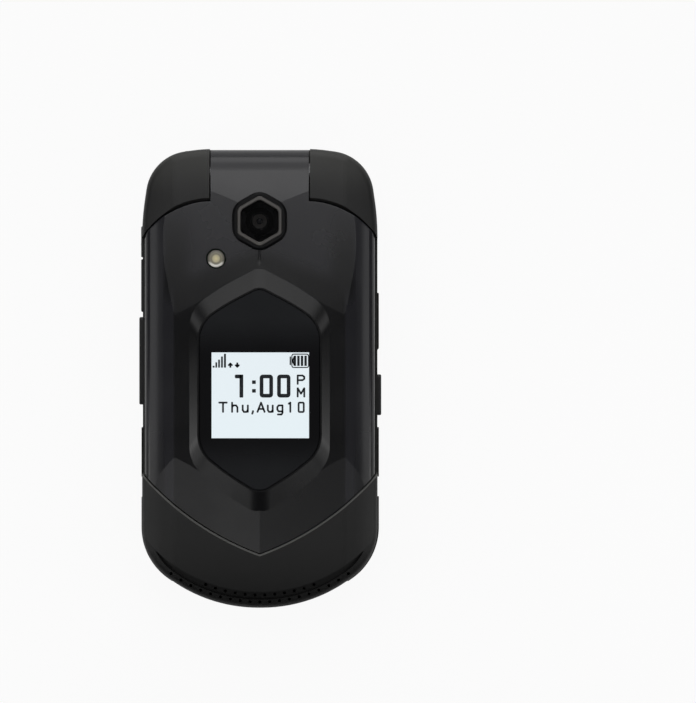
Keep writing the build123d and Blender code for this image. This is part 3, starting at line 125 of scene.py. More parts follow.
# %% Maths and ranges
def feed(tree, inputs, values):
    """Link each input to the socket given for it, or set it to a plain value."""
    for label, value in values.items():
        if isinstance(value, bpy.types.NodeSocket):
            tree.links.new(value, inputs[label])
        else:
            inputs[label].default_value = value


def maths(tree, operation, *values, clamp=False):
    """Maths node of one operation."""
    node = tree.nodes.new("ShaderNodeMath")
    node.operation = operation
    node.use_clamp = clamp
    feed(tree, node.inputs, dict(enumerate(values)))
    return node.outputs[0]


def times(tree, *values):
    """Product of several values."""
    product = values[0]
    for value in values[1:]:
        product = maths(tree, "MULTIPLY", product, value)
    return product


def either(tree, *flags):
    """The largest of several values: 1 where any flag is 1."""
    largest = flags[0]
    for flag in flags[1:]:
        largest = maths(tree, "MAXIMUM", largest, flag)
    return largest


def remap(tree, value, source, target=(0.0, 1.0), smooth=False):
    """Carry a value from one range to another, held at its ends."""
    node = tree.nodes.new("ShaderNodeMapRange")
    if smooth:
        node.interpolation_type = "SMOOTHSTEP"
    labels = ("Value", "From Min", "From Max", "To Min", "To Max")
    feed(tree, node.inputs, dict(zip(labels, (value, *source, *target))))
    return node.outputs["Result"]


def axes_of(tree, vector):
    """The X, Y and Z of a vector, by name."""
    node = tree.nodes.new("ShaderNodeSeparateXYZ")
    tree.links.new(vector, node.inputs[0])
    return node.outputs


# %% [markdown]
# ## Floor and surroundings
# The floor is plain white to the camera and in reflections, but lights the phone only as pale card
# would. The same goes for the surroundings, which stay dim for everything except the camera. The
# floor can't be seen from below and is open under the phone, so that the back can be looked at in
# the light that comes from underneath.

# %% Floor
FLOOR_DROP = 0.02 * MM
FLOOR_SIDE = 6.0
FLOOR_CARD = (0.9, 0.9, 0.9, 1)
FLOOR_GLOW = 0.93               # share of plain white in the floor; the rest takes light and shadow
FLOOR_GLOSS = 0.30              # share of white that a mirrored floor shows
OPENING = (50 * MM, 98 * MM)
OPENING_ROUND = 12 * MM
OPENING_Y = 2 * MM              # middle of the opening


def mix_shaders(tree, share, first, second):
    node = tree.nodes.new("ShaderNodeMixShader")
    feed(tree, node.inputs, {0: share, 1: first, 2: second})
    return node.outputs[0]


def paper_floor():
    """White card from above, nothing from below."""
    material = bpy.data.materials.new("paper_floor")
    material.use_nodes = True
    tree = material.node_tree
    tree.nodes.clear()
    card = tree.nodes.new("ShaderNodeBsdfDiffuse")
    card.inputs["Color"].default_value = FLOOR_CARD
    glow = tree.nodes.new("ShaderNodeEmission").outputs[0]
    nothing = tree.nodes.new("ShaderNodeBsdfTransparent").outputs[0]
    path = tree.nodes.new("ShaderNodeLightPath").outputs
    mirrored = times(tree, path["Is Glossy Ray"], FLOOR_GLOSS)
    seen = either(tree, path["Is Camera Ray"], path["Is Transmission Ray"], mirrored)
    above = mix_shaders(tree, times(tree, seen, FLOOR_GLOW), card.outputs[0], glow)
    underside = tree.nodes.new("ShaderNodeNewGeometry").outputs["Backfacing"]
    out = tree.nodes.new("ShaderNodeOutputMaterial")
    tree.links.new(mix_shaders(tree, underside, above, nothing), out.inputs["Surface"])
    return material


def floor():
    """Wide sheet round an opening with rounded corners."""
    bm = bmesh.new()
    made = bmesh.ops.create_grid(bm, x_segments=1, y_segments=1, size=0.5)
    bmesh.ops.scale(bm, vec=(*OPENING, 1), verts=made["verts"])
    bmesh.ops.bevel(
        bm, geom=bm.verts[:], offset=OPENING_ROUND, affect="VERTICES", segments=6, profile=0.5,
        material=-1,
    )
    bmesh.ops.delete(bm, geom=bm.faces[:], context="FACES_ONLY")
    grown = bmesh.ops.extrude_edge_only(bm, edges=bm.edges[:])
    outer = [g for g in grown["geom"] if isinstance(g, bmesh.types.BMVert)]
    growth = (FLOOR_SIDE / OPENING[0], FLOOR_SIDE / OPENING[1], 1)
    bmesh.ops.scale(bm, vec=growth, verts=outer)
    bmesh.ops.translate(bm, vec=(0, OPENING_Y, -FLOOR_DROP), verts=bm.verts)
    bm.normal_update()
    bmesh.ops.reverse_faces(bm, faces=[f for f in bm.faces if f.normal.z < 0])
    mesh = bpy.data.meshes.new("floor")
    bm.to_mesh(mesh)
    bm.free()
    mesh.materials.append(paper_floor())
    ground = bpy.data.objects.new("floor", mesh)
    bpy.context.scene.collection.objects.link(ground)
    return ground


print("floor", len(floor().data.polygons), "faces")

# %% Room
ROOM_ABOVE = 0.05               # what the room adds from above
ROOM_BELOW = 0.3                # and from below, where only the back sees it
HORIZON = (0.0, -0.1)           # heights of a direction between which the one turns into the other

world = bpy.data.worlds.new("room")
world.use_nodes = True
room = world.node_tree
heading = axes_of(room, room.nodes.new("ShaderNodeTexCoord").outputs["Generated"])
room_light = remap(room, heading["Z"], HORIZON, (ROOM_ABOVE, ROOM_BELOW))
room_path = room.nodes.new("ShaderNodeLightPath").outputs
brightness = either(room, room_light, room_path["Is Camera Ray"], room_path["Is Transmission Ray"])
feed(room, room.nodes["Background"].inputs, {"Color": (1, 1, 1, 1), "Strength": brightness})
bpy.context.scene.world = world
print("room", ROOM_ABOVE, "above,", ROOM_BELOW, "below")

# %% [markdown]
# ## Grain
# Moulded plastic, paint and rubber are never one flat tone. Each has a fine grain that scatters
# its gloss, and a slow mottle in tone and shine from handling. Both come from noise in the
# object's own coordinates, so they stay on the part as it moves. One group serves every finish
# here, with its own sizes in each.

# %% Node groups
NUMBER, VECTOR, COLOUR = "NodeSocketFloat", "NodeSocketVector", "NodeSocketColor"


def new_group(name, inputs, outputs):
    """Shader group that takes coordinates and named inputs; also returns its two ends."""
    group = bpy.data.node_groups.new(name, "ShaderNodeTree")
    for label, kind in {"Coordinates": VECTOR, **inputs}.items():
        group.interface.new_socket(label, in_out="INPUT", socket_type=kind)
    for label, kind in outputs.items():
        group.interface.new_socket(label, in_out="OUTPUT", socket_type=kind)
    given = group.nodes.new("NodeGroupInput").outputs
    result = group.nodes.new("NodeGroupOutput").inputs
    return group, given, result


def object_coordinates(tree):
    return tree.nodes.new("ShaderNodeTexCoord").outputs["Object"]


def place_group(tree, group, settings):
    """Put a group into a material, on the object's own coordinates."""
    node = tree.nodes.new("ShaderNodeGroup")
    node.node_tree = group
    feed(tree, node.inputs, {"Coordinates": object_coordinates(tree), **settings})
    return node.outputs


# %% Node group: grain
def noise(tree, coordinates, scale, detail, rough=0.55):
    node = tree.nodes.new("ShaderNodeTexNoise")
    values = {"Vector": coordinates, "Scale": scale, "Detail": detail, "Roughness": rough}
    feed(tree, node.inputs, values)
    return node.outputs["Fac"]


STREAK_FINER = 6.0              # than the mottle
SCUFF_FROM, SCUFF_GAIN = 0.66, 8.0      # only the peaks of the streaks are scuffed


def grain_group():
    """Fine height, slow tone, and rare streaks where the surface is scuffed."""
    group, given, result = new_group(
        "grain", {"Grain size": NUMBER, "Mottle size": NUMBER},
        {"Height": NUMBER, "Tone": NUMBER, "Scuff": NUMBER},
    )
    place, mottle = given["Coordinates"], given["Mottle size"]
    fine = noise(group, place, given["Grain size"], detail=2.0)
    slow = noise(group, place, mottle, detail=4.0, rough=0.6)
    streak = noise(group, place, times(group, mottle, STREAK_FINER), detail=5.0, rough=0.7)
    rare = maths(group, "SUBTRACT", streak, SCUFF_FROM)
    scuff = maths(group, "MULTIPLY", rare, SCUFF_GAIN, clamp=True)
    feed(group, result, {"Height": fine, "Tone": slow, "Scuff": scuff})
    return group


GRAIN = grain_group()
print("group", GRAIN.name)


def place_grain(tree, grain_size, mottle_size):
    return place_group(tree, GRAIN, {"Grain size": grain_size, "Mottle size": mottle_size})


# %% [markdown]
# ## Finishes
# Every finish is a Principled shader with its own colour, shine and grain. The tone of the mottle
# moves the colour and the roughness a little, and the grain is a bump well under a tenth of a
# millimetre, which is what breaks up the reflections of a satin surface.


# %% Finish builder
def colour(red, green, blue):
    """sRGB 0 to 255 to the linear colour that the shader wants."""
    def linear(value):
        value /= 255
        return value / 12.92 if value <= 0.04045 else ((value + 0.055) / 1.055) ** 2.4
    return (linear(red), linear(green), linear(blue), 1.0)


def new_material(name):
    """Material with an empty Principled shader: the material, its tree and the shader's inputs."""
    material = bpy.data.materials.new(name)
    material.use_nodes = True
    tree = material.node_tree
    return material, tree, tree.nodes["Principled BSDF"].inputs


def blend(tree, share, low, high, mode="MIX"):
    """Colour from low to high."""
    node = tree.nodes.new("ShaderNodeMix")
    node.data_type = "RGBA"
    node.blend_type = mode
    feed(tree, node.inputs, {0: share, 6: low, 7: high})
    return node.outputs[2]


def spread(tree, value, low, high):
    """Map 0.3 to 0.7, where noise mostly lies, onto low to high."""
    return remap(tree, value, (0.3, 0.7), (low, high))


def relief(tree, height, strength, depth, below=None):
    """Bump of a height, on top of another bump's normal if there is one."""
    node = tree.nodes.new("ShaderNodeBump")
    feed(tree, node.inputs, {"Height": height, "Strength": strength, "Distance": depth})
    if below:
        tree.links.new(below, node.inputs["Normal"])
    return node.outputs["Normal"]


GRAIN_DEPTH = 0.02 * MM
FOLD_DEPTH = 0.08 * MM


def finish(name, tone, rough, vary=0.12, rough_vary=0.05, grain=2500.0, mottle=60.0, bump=0.15,
           metallic=0.0, coat=0.0, scuffs=0.0, specular=0.5, painted_shading=None, carve=None):
    """A grained sRGB colour; one function lays painted light and shade on it, carve a fold line."""
    material, tree, shader = new_material(name)
    texture = place_grain(tree, grain, mottle)
    base = colour(*tone)[:3]
    low = (*(c * (1 - vary) for c in base), 1.0)
    high = (*(c * (1 + vary) for c in base), 1.0)
    surface = blend(tree, spread(tree, texture["Tone"], 0.0, 1.0), low, high)
    # Painted light and shade, where a finish has them.
    if painted_shading:
        surface = painted_shading(tree, surface)
    if scuffs:
        worn = (*(min(1.0, c * 1.6 + 0.02) for c in base), 1.0)
        surface = blend(tree, times(tree, texture["Scuff"], scuffs), surface, worn)
    shine = spread(tree, texture["Tone"], rough - rough_vary, rough + rough_vary)
    fold = relief(tree, carve(tree), 1.0, FOLD_DEPTH) if carve else None
    feed(tree, shader, {
        "Base Color": surface, "Roughness": shine, "Metallic": metallic, "Coat Weight": coat,
        "Specular IOR Level": specular,
        "Normal": relief(tree, texture["Height"], bump, GRAIN_DEPTH, fold),
    })
    return material


# %% [markdown]
# ## Painted light and shade
# The lid is painted and the base is moulded in its own colour. Light and shade are painted over
# both. The lid goes to a deep black of painted shade beside its raised hexagon. The base has
# painted light at the tops of the hinge towers, a painted highlight along the seam with the lid,
# and painted shade inside the chin's groove.

# %% Patch helpers
# The deep lid tone is painted shade. The pale tower tone is painted light, the bright seam tone a
# painted highlight, and the groove tone painted shade.
LID_TONE, LID_PAINTED_SHADE = (33, 33, 37), (5, 5, 7)
SHELL_TONE, TOWER_PAINTED_LIGHT = (27, 27, 27), (58, 58, 56)
SEAM_PAINTED_HIGHLIGHT, GROOVE_PAINTED_SHADE = (88, 88, 86), (9, 9, 9)


def fade(tree, value, full, gone):
    """1 at one value, 0 at another (both in millimetres), with a smooth step between."""
    return remap(tree, value, (gone * MM, full * MM), smooth=True)


def over(tree, share, below, tone):
    """Lay a tone over a colour where share is 1."""
    return blend(tree, share, below, colour(*tone))


def half_plan(tree):
    """X measured outwards from the middle, and Y."""
    axes = axes_of(tree, object_coordinates(tree))
    return maths(tree, "ABSOLUTE", axes["X"]), axes["Y"]


def reach_from(tree, across, along, centre):
    """Distance in plan from a point given in millimetres."""
    squares = []
    for value, middle in ((across, centre[0]), (along, centre[1])):
        off = maths(tree, "SUBTRACT", value, middle * MM)
        squares.append(times(tree, off, off))
    return maths(tree, "SQRT", maths(tree, "ADD", *squares))


# %% Lid paint
# Each pair says where a patch of painted shade is full and where it is gone, in millimetres.
FLAT_ACROSS, FLAT_ROOF = (20.4, 21.2), (29.0, 34.0)
ROOF_SLOPE = 0.4                # how the flats' upper end falls away from the middle
SHOULDER_INNER, SHOULDER_OUTER = (20.0, 15.0), (22.2, 24.0)
SHOULDER_FOOT, SHOULDER_TOP = (24.0, 16.0), (28.0, 46.0)
SIDE_INNER, SIDE_TOP = (24.0, 22.5), (-30.0, -6.0)
SIDE_SHARE = 0.7
FOLD_WIDTH = (0.0, 0.4)
FOLD_FOOT, FOLD_TOP = (30.0, 27.2), (32.0, 33.0)


def lid_shade_patches(tree, painted_shading):
    """Painted deep black shade on the flats beside the hexagon, their shoulders and low flanks."""
    across, along = half_plan(tree)
    roof = maths(tree, "ADD", along, times(tree, across, ROOF_SLOPE))
    flats = times(tree, fade(tree, across, *FLAT_ACROSS), fade(tree, roof, *FLAT_ROOF))
    shoulders = times(
        tree, fade(tree, across, *SHOULDER_INNER), fade(tree, across, *SHOULDER_OUTER),
        fade(tree, along, *SHOULDER_FOOT), fade(tree, along, *SHOULDER_TOP),
    )
    flanks = times(tree, fade(tree, across, *SIDE_INNER), fade(tree, along, *SIDE_TOP), SIDE_SHARE)
    # Each patch lays painted shade in deep black over the lid's colour.
    for patch in (flats, shoulders, flanks):
        painted_shading = over(tree, patch, painted_shading, LID_PAINTED_SHADE)
    return painted_shading


def lid_fold(tree):
    """The fold between the camera and the point of the raised hexagon, as a shallow valley."""
    across, along = half_plan(tree)
    line = times(
        tree, fade(tree, across, *FOLD_WIDTH), fade(tree, along, *FOLD_FOOT),
        fade(tree, along, *FOLD_TOP),
    )
    return maths(tree, "SUBTRACT", 1.0, line)


LID_PAINT = finish(
    "lid_paint", LID_TONE, 0.25, vary=0.04, rough_vary=0.03, grain=3200, mottle=45, bump=0.03,
    painted_shading=lid_shade_patches, carve=lid_fold,
)
print("lid paint", len(LID_PAINT.node_tree.nodes), "nodes")

# %% Base shell
# Where the painted light on the towers' tops is full and where it is gone, in millimetres.
TOWER_LIGHT_REACH = (56.0, 43.0)
SEAM_ARC, SEAM_ARC_R = (-24.336, 23.158), 70.211        # seam of lid and chin, its right half
SEAM_INNER, SEAM_OUTER = 0.05, (0.5, 0.62)              # where the painted highlight starts and ends
GROOVE_MIDDLE, GROOVE_R = (0.0, -15.6), 36.5            # upper edge of the chin's groove
GROOVE_SOFT = 0.3
GROOVE_TOP = (-36.0, -34.0)


def shell_light_patches(tree, plastic):
    """Painted: a highlight on the seam, light on the towers' tops, shade in the chin's groove."""
    across, along = half_plan(tree)
    beyond = reach_from(tree, across, along, SEAM_ARC)
    # Painted highlight: a thin band just outside the seam with the lid.
    seam_highlight = times(
        tree, fade(tree, beyond, SEAM_ARC_R + SEAM_INNER, SEAM_ARC_R),
        fade(tree, beyond, *(SEAM_ARC_R + step for step in SEAM_OUTER)),
    )
    # Painted shade inside the chin's groove.
    from_middle = reach_from(tree, across, along, GROOVE_MIDDLE)
    groove = times(
        tree, fade(tree, from_middle, GROOVE_R, GROOVE_R - GROOVE_SOFT),
        fade(tree, along, *GROOVE_TOP),
    )
    # Painted light on the towers' tops, fading downwards.
    plastic = over(tree, fade(tree, along, *TOWER_LIGHT_REACH), plastic, TOWER_PAINTED_LIGHT)
    plastic = over(tree, seam_highlight, plastic, SEAM_PAINTED_HIGHLIGHT)
    return over(tree, groove, plastic, GROOVE_PAINTED_SHADE)


SHELL = finish(
    "satin_shell", SHELL_TONE, 0.5, vary=0.07, grain=2400, mottle=50, bump=0.18, scuffs=0.03,
    specular=0.42, painted_shading=shell_light_patches,
)
print("base shell", len(SHELL.node_tree.nodes), "nodes")

# %% Finishes by slot
KEY_CAP = finish("key_cap", (26, 26, 28), 0.38, vary=0.08, grain=3200, bump=0.1)
SATIN_BLACK = finish("satin_black", (7, 7, 9), 0.5, vary=0.1, grain=3000, bump=0.08, specular=0.2)
BY_SLOT = {
    "shell": SHELL,
    "key": KEY_CAP,
    "bezel": SATIN_BLACK,
    "rear_shell": finish(
        "rear_shell", (25, 26, 25), 0.5, vary=0.08, grain=2200, mottle=50, bump=0.2),
    "inner_shell": finish("inner_shell", (24, 24, 26), 0.42, vary=0.06, grain=2600, bump=0.12),
    "grip_rubber": finish(
        "grip_rubber", (18, 18, 18), 0.7, vary=0.15, grain=1800, mottle=90, bump=0.35,
        specular=0.3),
    "ring": finish(
        "grey_metal", (98, 96, 94), 0.45, vary=0.08, grain=4200, mottle=200, bump=0.05,
        metallic=0.9),
    "lock_metal": finish(
        "lock_metal", (96, 108, 108), 0.36, vary=0.12, grain=2600, mottle=160, bump=0.2,
        metallic=0.85),
    "steel": finish(
        "turned_steel", (150, 150, 152), 0.3, vary=0.1, grain=5200, mottle=300, bump=0.05,
        metallic=1.0),
    "gold": finish(
        "gold_plate", (205, 160, 96), 0.3, vary=0.1, grain=3600, mottle=240, bump=0.08,
        metallic=0.9),
    "black_plastic": finish("black_plastic", (18, 18, 19), 0.5, vary=0.15, grain=2400, bump=0.2),
    "board": finish(
        "solder_mask", (18, 74, 44), 0.35, vary=0.2, grain=900, mottle=350, bump=0.25, coat=0.3),
    "film": finish(
        "dome_film", (196, 186, 150), 0.3, vary=0.1, grain=1500, mottle=120, bump=0.05),
    "battery_wrap": finish(
        "battery_wrap", (62, 64, 68), 0.42, vary=0.06, grain=2600, mottle=40, bump=0.05),
    "lens_module": finish("lens_black", (8, 8, 9), 0.12, vary=0.2, grain=5000, bump=0.0, coat=0.5)}


def dress(node, material):
    """Give a CAD node its finish."""
    for holder in frame["nodes"][node].material_slots:
        holder.material = material


dressed = [part for part in frame["record"]["subparts"] if part["material_slot"] in BY_SLOT]
for part in dressed:
    dress(part["node"], BY_SLOT[part["material_slot"]])
dress("lid_outer_cover", LID_PAINT)
print("dressed by slot", len(dressed), "nodes")

# %% [markdown]
# ## Windows printed black from behind
# The outer window and the inner lens are clear sheets with a black print on the back that leaves
# an opening for the display. A mask of the opening drives Alpha: solid black gloss outside, nearly
# clear inside. The display behind is a real slab with its own light. Both windows share one group,
# which also tells how far a spot lies towards the window's two ends, where a painted reflection
# makes the print paler.

# %% Node group: window print
CLEAR_ALPHA = 0.1
# Where the painted reflection on the print starts and where it is full.
GLARE_START, GLARE_FULL = 0.45, 0.95        # of the opening's height, from its middle


def window_group():
    """1 in an upright rectangle, and a rise from its middle to both ends for a painted reflection.
    """
    group, given, result = new_group(
        "window_print", {"X": NUMBER, "Y": NUMBER, "Width": NUMBER, "Height": NUMBER},
        {"Opening": NUMBER, "Ends": NUMBER},
    )
    axes = axes_of(group, given["Coordinates"])
    away = {
        axis: maths(group, "ABSOLUTE", maths(group, "SUBTRACT", axes[axis], given[axis]))
        for axis in "XY"
    }
    inside = [
        maths(group, "LESS_THAN", away[axis], times(group, given[size], 0.5))
        for axis, size in (("X", "Width"), ("Y", "Height"))
    ]
    limits = [times(group, given["Height"], share) for share in (GLARE_START, GLARE_FULL)]
    ends = remap(group, away["Y"], limits, smooth=True)
    feed(group, result, {"Opening": times(group, *inside), "Ends": ends})
    return group


WINDOW_PRINT = window_group()
print("group", WINDOW_PRINT.name)


# %% Windows
def printed_window(name, centre, size, middle_tone, glare_tone):
    material, tree, shader = new_material(name)
    window = place_group(
        tree, WINDOW_PRINT, {"X": centre.x, "Y": centre.y, "Width": size[0], "Height": size[1]}
    )
    alpha = remap(tree, window["Opening"], (0.0, 1.0), (1.0, CLEAR_ALPHA))
    tone = place_grain(tree, 4000, 80)["Tone"]
    # Towards both ends a painted reflection makes the black print paler.
    share = times(tree, window["Ends"], spread(tree, tone, 0.9, 1.1))
    black = blend(tree, share, colour(*middle_tone), colour(*glare_tone))
    shine = spread(tree, tone, 0.08, 0.14)
    feed(tree, shader, {"Alpha": alpha, "Base Color": black, "Roughness": shine})
    return material


OUTER_LIT = (23.7 * MM, 20.85 * MM)
OUTER_SHIFT = Vector((0.18, -0.05, 0)) * MM
outer_low, outer_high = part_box("sub_display")
OUTER_CENTRE = (outer_low + outer_high) / 2 + OUTER_SHIFT
dress(
    "sub_display_window",
    printed_window("outer_window", OUTER_CENTRE, OUTER_LIT, (19, 19, 21), (38, 39, 41)),
)

INNER_LIT = (39.0 * MM, 52.0 * MM)
inner_low, inner_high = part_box("main_display")
INNER_CENTRE = (inner_low + inner_high) / 2
dress(
    "display_lens",
    printed_window("inner_lens", INNER_CENTRE, INNER_LIT, (14, 14, 16), (14, 14, 16)),
)
print("windows at", [round(centre.y, 4) for centre in (OUTER_CENTRE, INNER_CENTRE)])

# %% [markdown]
# ## Lit panels
# A display's backlight is never quite even and its cells show as a faint grid. One group gives
# both: a glow that goes from one tone to another along Y, crossed by a fine checker.

# %% Node group: panel glow
CELLS = 4000
CELL_TONES = {"Color1": (1, 1, 1, 1), "Color2": (0.96, 0.96, 0.96, 1)}
PANEL_BLACK = (0.02, 0.02, 0.02, 1)


def panel_group():
    group, given, result = new_group(
        "panel_glow", {"Near": COLOUR, "Far": COLOUR, "Start": NUMBER, "End": NUMBER},
        {"Colour": COLOUR},
    )
    cells = group.nodes.new("ShaderNodeTexChecker")
    feed(group, cells.inputs, {"Vector": given["Coordinates"], "Scale": CELLS, **CELL_TONES})
    along = axes_of(group, given["Coordinates"])["Y"]
    share = remap(group, along, (given["Start"], given["End"]))
    tone = blend(group, share, given["Near"], given["Far"])
    group.links.new(blend(group, 1.0, tone, cells.outputs["Color"], "MULTIPLY"), result["Colour"])
    return group


PANEL_GLOW = panel_group()
print("group", PANEL_GLOW.name)


# %% Displays
def lit_panel(name, tone, far_tone, ends, strength):
    """Backlit panel that glows from one tone to another along Y."""
    material, tree, shader = new_material(name)
    settings = {"Near": colour(*tone), "Far": colour(*far_tone), "Start": ends[0], "End": ends[1]}
    glow = place_group(tree, PANEL_GLOW, settings)["Colour"]
    feed(tree, shader, {
        "Emission Color": glow, "Emission Strength": strength, "Base Color": PANEL_BLACK,
        "Roughness": 0.4,
    })
    return material


OUTER_ENDS = (outer_low.y, outer_high.y)
INNER_ENDS = (inner_low.y, inner_high.y)
dress("sub_display", lit_panel("outer_panel", (231, 242, 247), (231, 240, 245), OUTER_ENDS, 1.22))
dress("main_display", lit_panel("inner_panel", (24, 66, 118), (96, 158, 196), INNER_ENDS, 0.9))
print("displays lit")

# %% [markdown]
# ## Flat marks
# Display figures, key legends and printed marks are slabs a few hundredths of a millimetre thick.
# Bars and frames come from one square face that is scaled, rounded at its corners and inset.
# Letters come from Blender's own font, turned into a mesh.

# %% Pieces
PRINT = 0.03 * MM


def place_piece(name, mesh, material, body):
    """Object of one material that rides on a body."""
    mesh.materials.clear()
    mesh.materials.append(material)
    piece = bpy.data.objects.new(name, mesh)
    bpy.context.scene.collection.objects.link(piece)
    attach(piece, body)
    return piece


def new_piece(name, bm, material, body):
    """Turn a bmesh into a piece."""
    mesh = bpy.data.meshes.new(name)
    bm.to_mesh(mesh)
    bm.free()
    return place_piece(name, mesh, material, body)


# %% Bars, strokes and lettering
def add_bar(bm, centre, size, turn=0.0, round_by=0.0, hollow_by=0.0):
    """One flat rectangle; rounded at the corners, and a frame where hollow_by is its line width."""
    verts = bmesh.ops.create_grid(bm, x_segments=1, y_segments=1, size=0.5)["verts"]
    face = verts[0].link_faces[0]
    bmesh.ops.scale(bm, vec=(size[0], size[1], 1), verts=verts)
    bmesh.ops.rotate(bm, matrix=Matrix.Rotation(turn, 3, "Z"), verts=verts)
    bmesh.ops.translate(bm, vec=centre, verts=verts)
    if round_by:
        rounded = bmesh.ops.bevel(
            bm, geom=verts, offset=round_by, affect="VERTICES", segments=3, profile=0.5,
            material=-1,
        )
        face = max(rounded["verts"][0].link_faces, key=lambda f: f.calc_area())
    if hollow_by:
        bmesh.ops.inset_region(
            bm, faces=[face], thickness=hollow_by, use_boundary=True, use_even_offset=True
        )
        bmesh.ops.delete(bm, geom=[face], context="FACES")


def add_stroke(bm, points, width):
    """A pen line through points, one rounded bar for each run."""
    for first, second in zip(points, points[1:]):
        first, second = Vector(first), Vector(second)
        run = second - first
        add_bar(
            bm, (first + second) / 2, (run.length + width * 0.8, width),
            turn=-Vector((1, 0)).angle_signed(run.xy), round_by=width * 0.35,
        )


def thicken(bm, amount=PRINT):
    """Give flat marks their thickness; a negative amount goes down."""
    raised = bmesh.ops.extrude_face_region(bm, geom=list(bm.faces))
    verts = [g for g in raised["geom"] if isinstance(g, bmesh.types.BMVert)]
    bmesh.ops.translate(bm, vec=(0, 0, amount), verts=verts)
    bmesh.ops.recalc_face_normals(bm, faces=bm.faces)


def lettering(name, words, height, centre, material, body, turn=Matrix.Identity(4)):
    """Words in Blender's font as a thin mesh."""
    curve = bpy.data.curves.new(name, "FONT")
    curve.body = words
    curve.size = height
    curve.align_x, curve.align_y = "CENTER", "CENTER"
    curve.extrude = PRINT / 2
    curve.resolution_u = 3
    shape = bpy.data.objects.new("shape", curve)
    bpy.context.scene.collection.objects.link(shape)
    drawn = shape.evaluated_get(bpy.context.evaluated_depsgraph_get())
    mesh = bpy.data.meshes.new_from_object(drawn)
    bpy.data.objects.remove(shape)
    mesh.transform(Matrix.Translation(centre) @ turn)
    return place_piece(name, mesh, material, body)


# %% [markdown]
# ## The outer display's figures
# A plain clock on a bright panel: signal bars, arrows and a battery sign along the top, large
# figures in the middle, the date below. Such coarse displays draw them in even strokes with cut
# corners, so each letter is a pen line through a few points of a unit cell. Places and sizes are
# in millimetres, right and down from the lit area's upper left corner.

# %% Pen lines of the letters
GLYPHS = {
    "T": [[(0, 1), (1, 1)], [(0.5, 1), (0.5, 0)]],
    "h": [[(0, 1), (0, 0)], [(0, 0.55), (0.3, 0.7), (0.75, 0.7), (1, 0.5), (1, 0)]],
    "u": [[(0, 0.7), (0, 0.2), (0.25, 0), (0.7, 0), (1, 0.2)], [(1, 0.7), (1, 0)]],
    ",": [[(0.6, 0.1), (0.2, -0.2)]],
    "A": [[(0, 0), (0.5, 1), (1, 0)], [(0.18, 0.32), (0.82, 0.32)]],
    "g": [[(1, 0.7), (0.25, 0.7), (0, 0.5), (0, 0.25), (0.25, 0.06), (1, 0.06)],
          [(1, 0.7), (1, -0.1), (0.8, -0.27), (0.1, -0.27)]],
    "1": [[(0, 0.88), (0.5, 1), (0.5, 0)]],
    "P": [[(0, 0), (0, 1), (0.75, 1), (1, 0.85), (1, 0.6), (0.75, 0.45), (0, 0.45)]],
    "M": [[(0, 0), (0, 1), (0.5, 0.35), (1, 1), (1, 0)]],
}
#   letter, left side, foot, width, height
LETTERS = (
    ("P", 20.94, 7.67, 1.6, 2.05), ("M", 20.94, 10.75, 1.6, 2.05),
    ("T", 1.86, 14.47, 1.85, 2.27), ("h", 4.99, 14.47, 1.3, 2.27), ("u", 7.57, 14.47, 1.25, 2.27),
    (",", 9.8, 14.47, 0.5, 2.27), ("A", 11.16, 14.47, 1.74, 2.27), ("u", 13.68, 14.47, 1.19, 2.27),
    ("g", 15.99, 14.47, 1.26, 2.27), ("1", 18.75, 14.47, 0.8, 2.27),
)
SIGNAL_FOOT = 3.7
SIGNAL = ((0.5, 0.46, 0.45), (1.14, 0.42, 1.3), (1.82, 0.44, 1.96), (2.53, 0.46, 2.72),
          (3.26, 0.5, 3.37))            # place, width, height
THIN, THICK = 0.46, 0.92                # line widths of letters and figures

# %% Outer display
PANEL_TOP = outer_high.z
FIGURE = finish("display_figure", (30, 38, 46), 0.5, vary=0.05, bump=0.0)


def outer_display_figures():
    bm = bmesh.new()
    left = OUTER_CENTRE.x - OUTER_LIT[0] / 2
    top = OUTER_CENTRE.y + OUTER_LIT[1] / 2

    def at(x, y):
        return Vector((left + x * MM, top - y * MM, PANEL_TOP))

    def box(x, y, width, height, round_by=0.0, line=0.0):
        size = (width * MM, height * MM)
        add_bar(bm, at(x, y), size, round_by=round_by * MM, hollow_by=line * MM)

    def stroke(points, width):
        add_stroke(bm, [at(*point) for point in points], width * MM)

    for x, width, height in SIGNAL:
        box(x, SIGNAL_FOOT - height / 2, width, height)
    for x, sense in ((4.57, 1), (6.25, -1)):                # two small arrows, up and down
        box(x, 3.08 + 0.25 * sense, 0.46, 0.75)
        stroke([(x - 0.42, 3.1), (x, 3.1 - 0.42 * sense), (x + 0.42, 3.1)], 0.42)
        box(x, 3.05 - 0.05 * sense, 0.6, 0.4)
    box(21.55, 2.04, 4.3, 3.5, round_by=0.55, line=0.26)    # battery: case, knob, head, four bars
    box(19.15, 2.04, 0.34, 2.1, round_by=0.1)
    stroke([(20.1, 1.1), (19.7, 2.04), (20.1, 2.98)], 0.4)
    for x in (20.25, 21.12, 21.99, 22.86):
        box(x, 2.04, 0.6, 2.5)
    box(7.25, 8.18, THICK, 5.6, round_by=0.15)              # 1, its flag, the colon, two zeros
    box(6.5, 5.84, 1.7, THICK, round_by=0.3)
    for y in (7.23, 9.34):
        box(10.3, y, 0.92, 0.88, round_by=0.1)
    for x in (13.32, 17.56):
        box(x, 8.18, 3.26, 5.6, round_by=0.75, line=THICK)
    for sign, x, foot, width, height in LETTERS:
        for line in GLYPHS[sign]:
            stroke([(x + u * width, foot - v * height) for u, v in line], THIN)
    box(21.79, 13.34, 1.71, 2.73, round_by=0.45, line=THIN)     # the date's last zero
    thicken(bm)
    return new_piece("outer_display_figures", bm, FIGURE, "lid")


print("outer display", len(outer_display_figures().data.polygons), "faces")

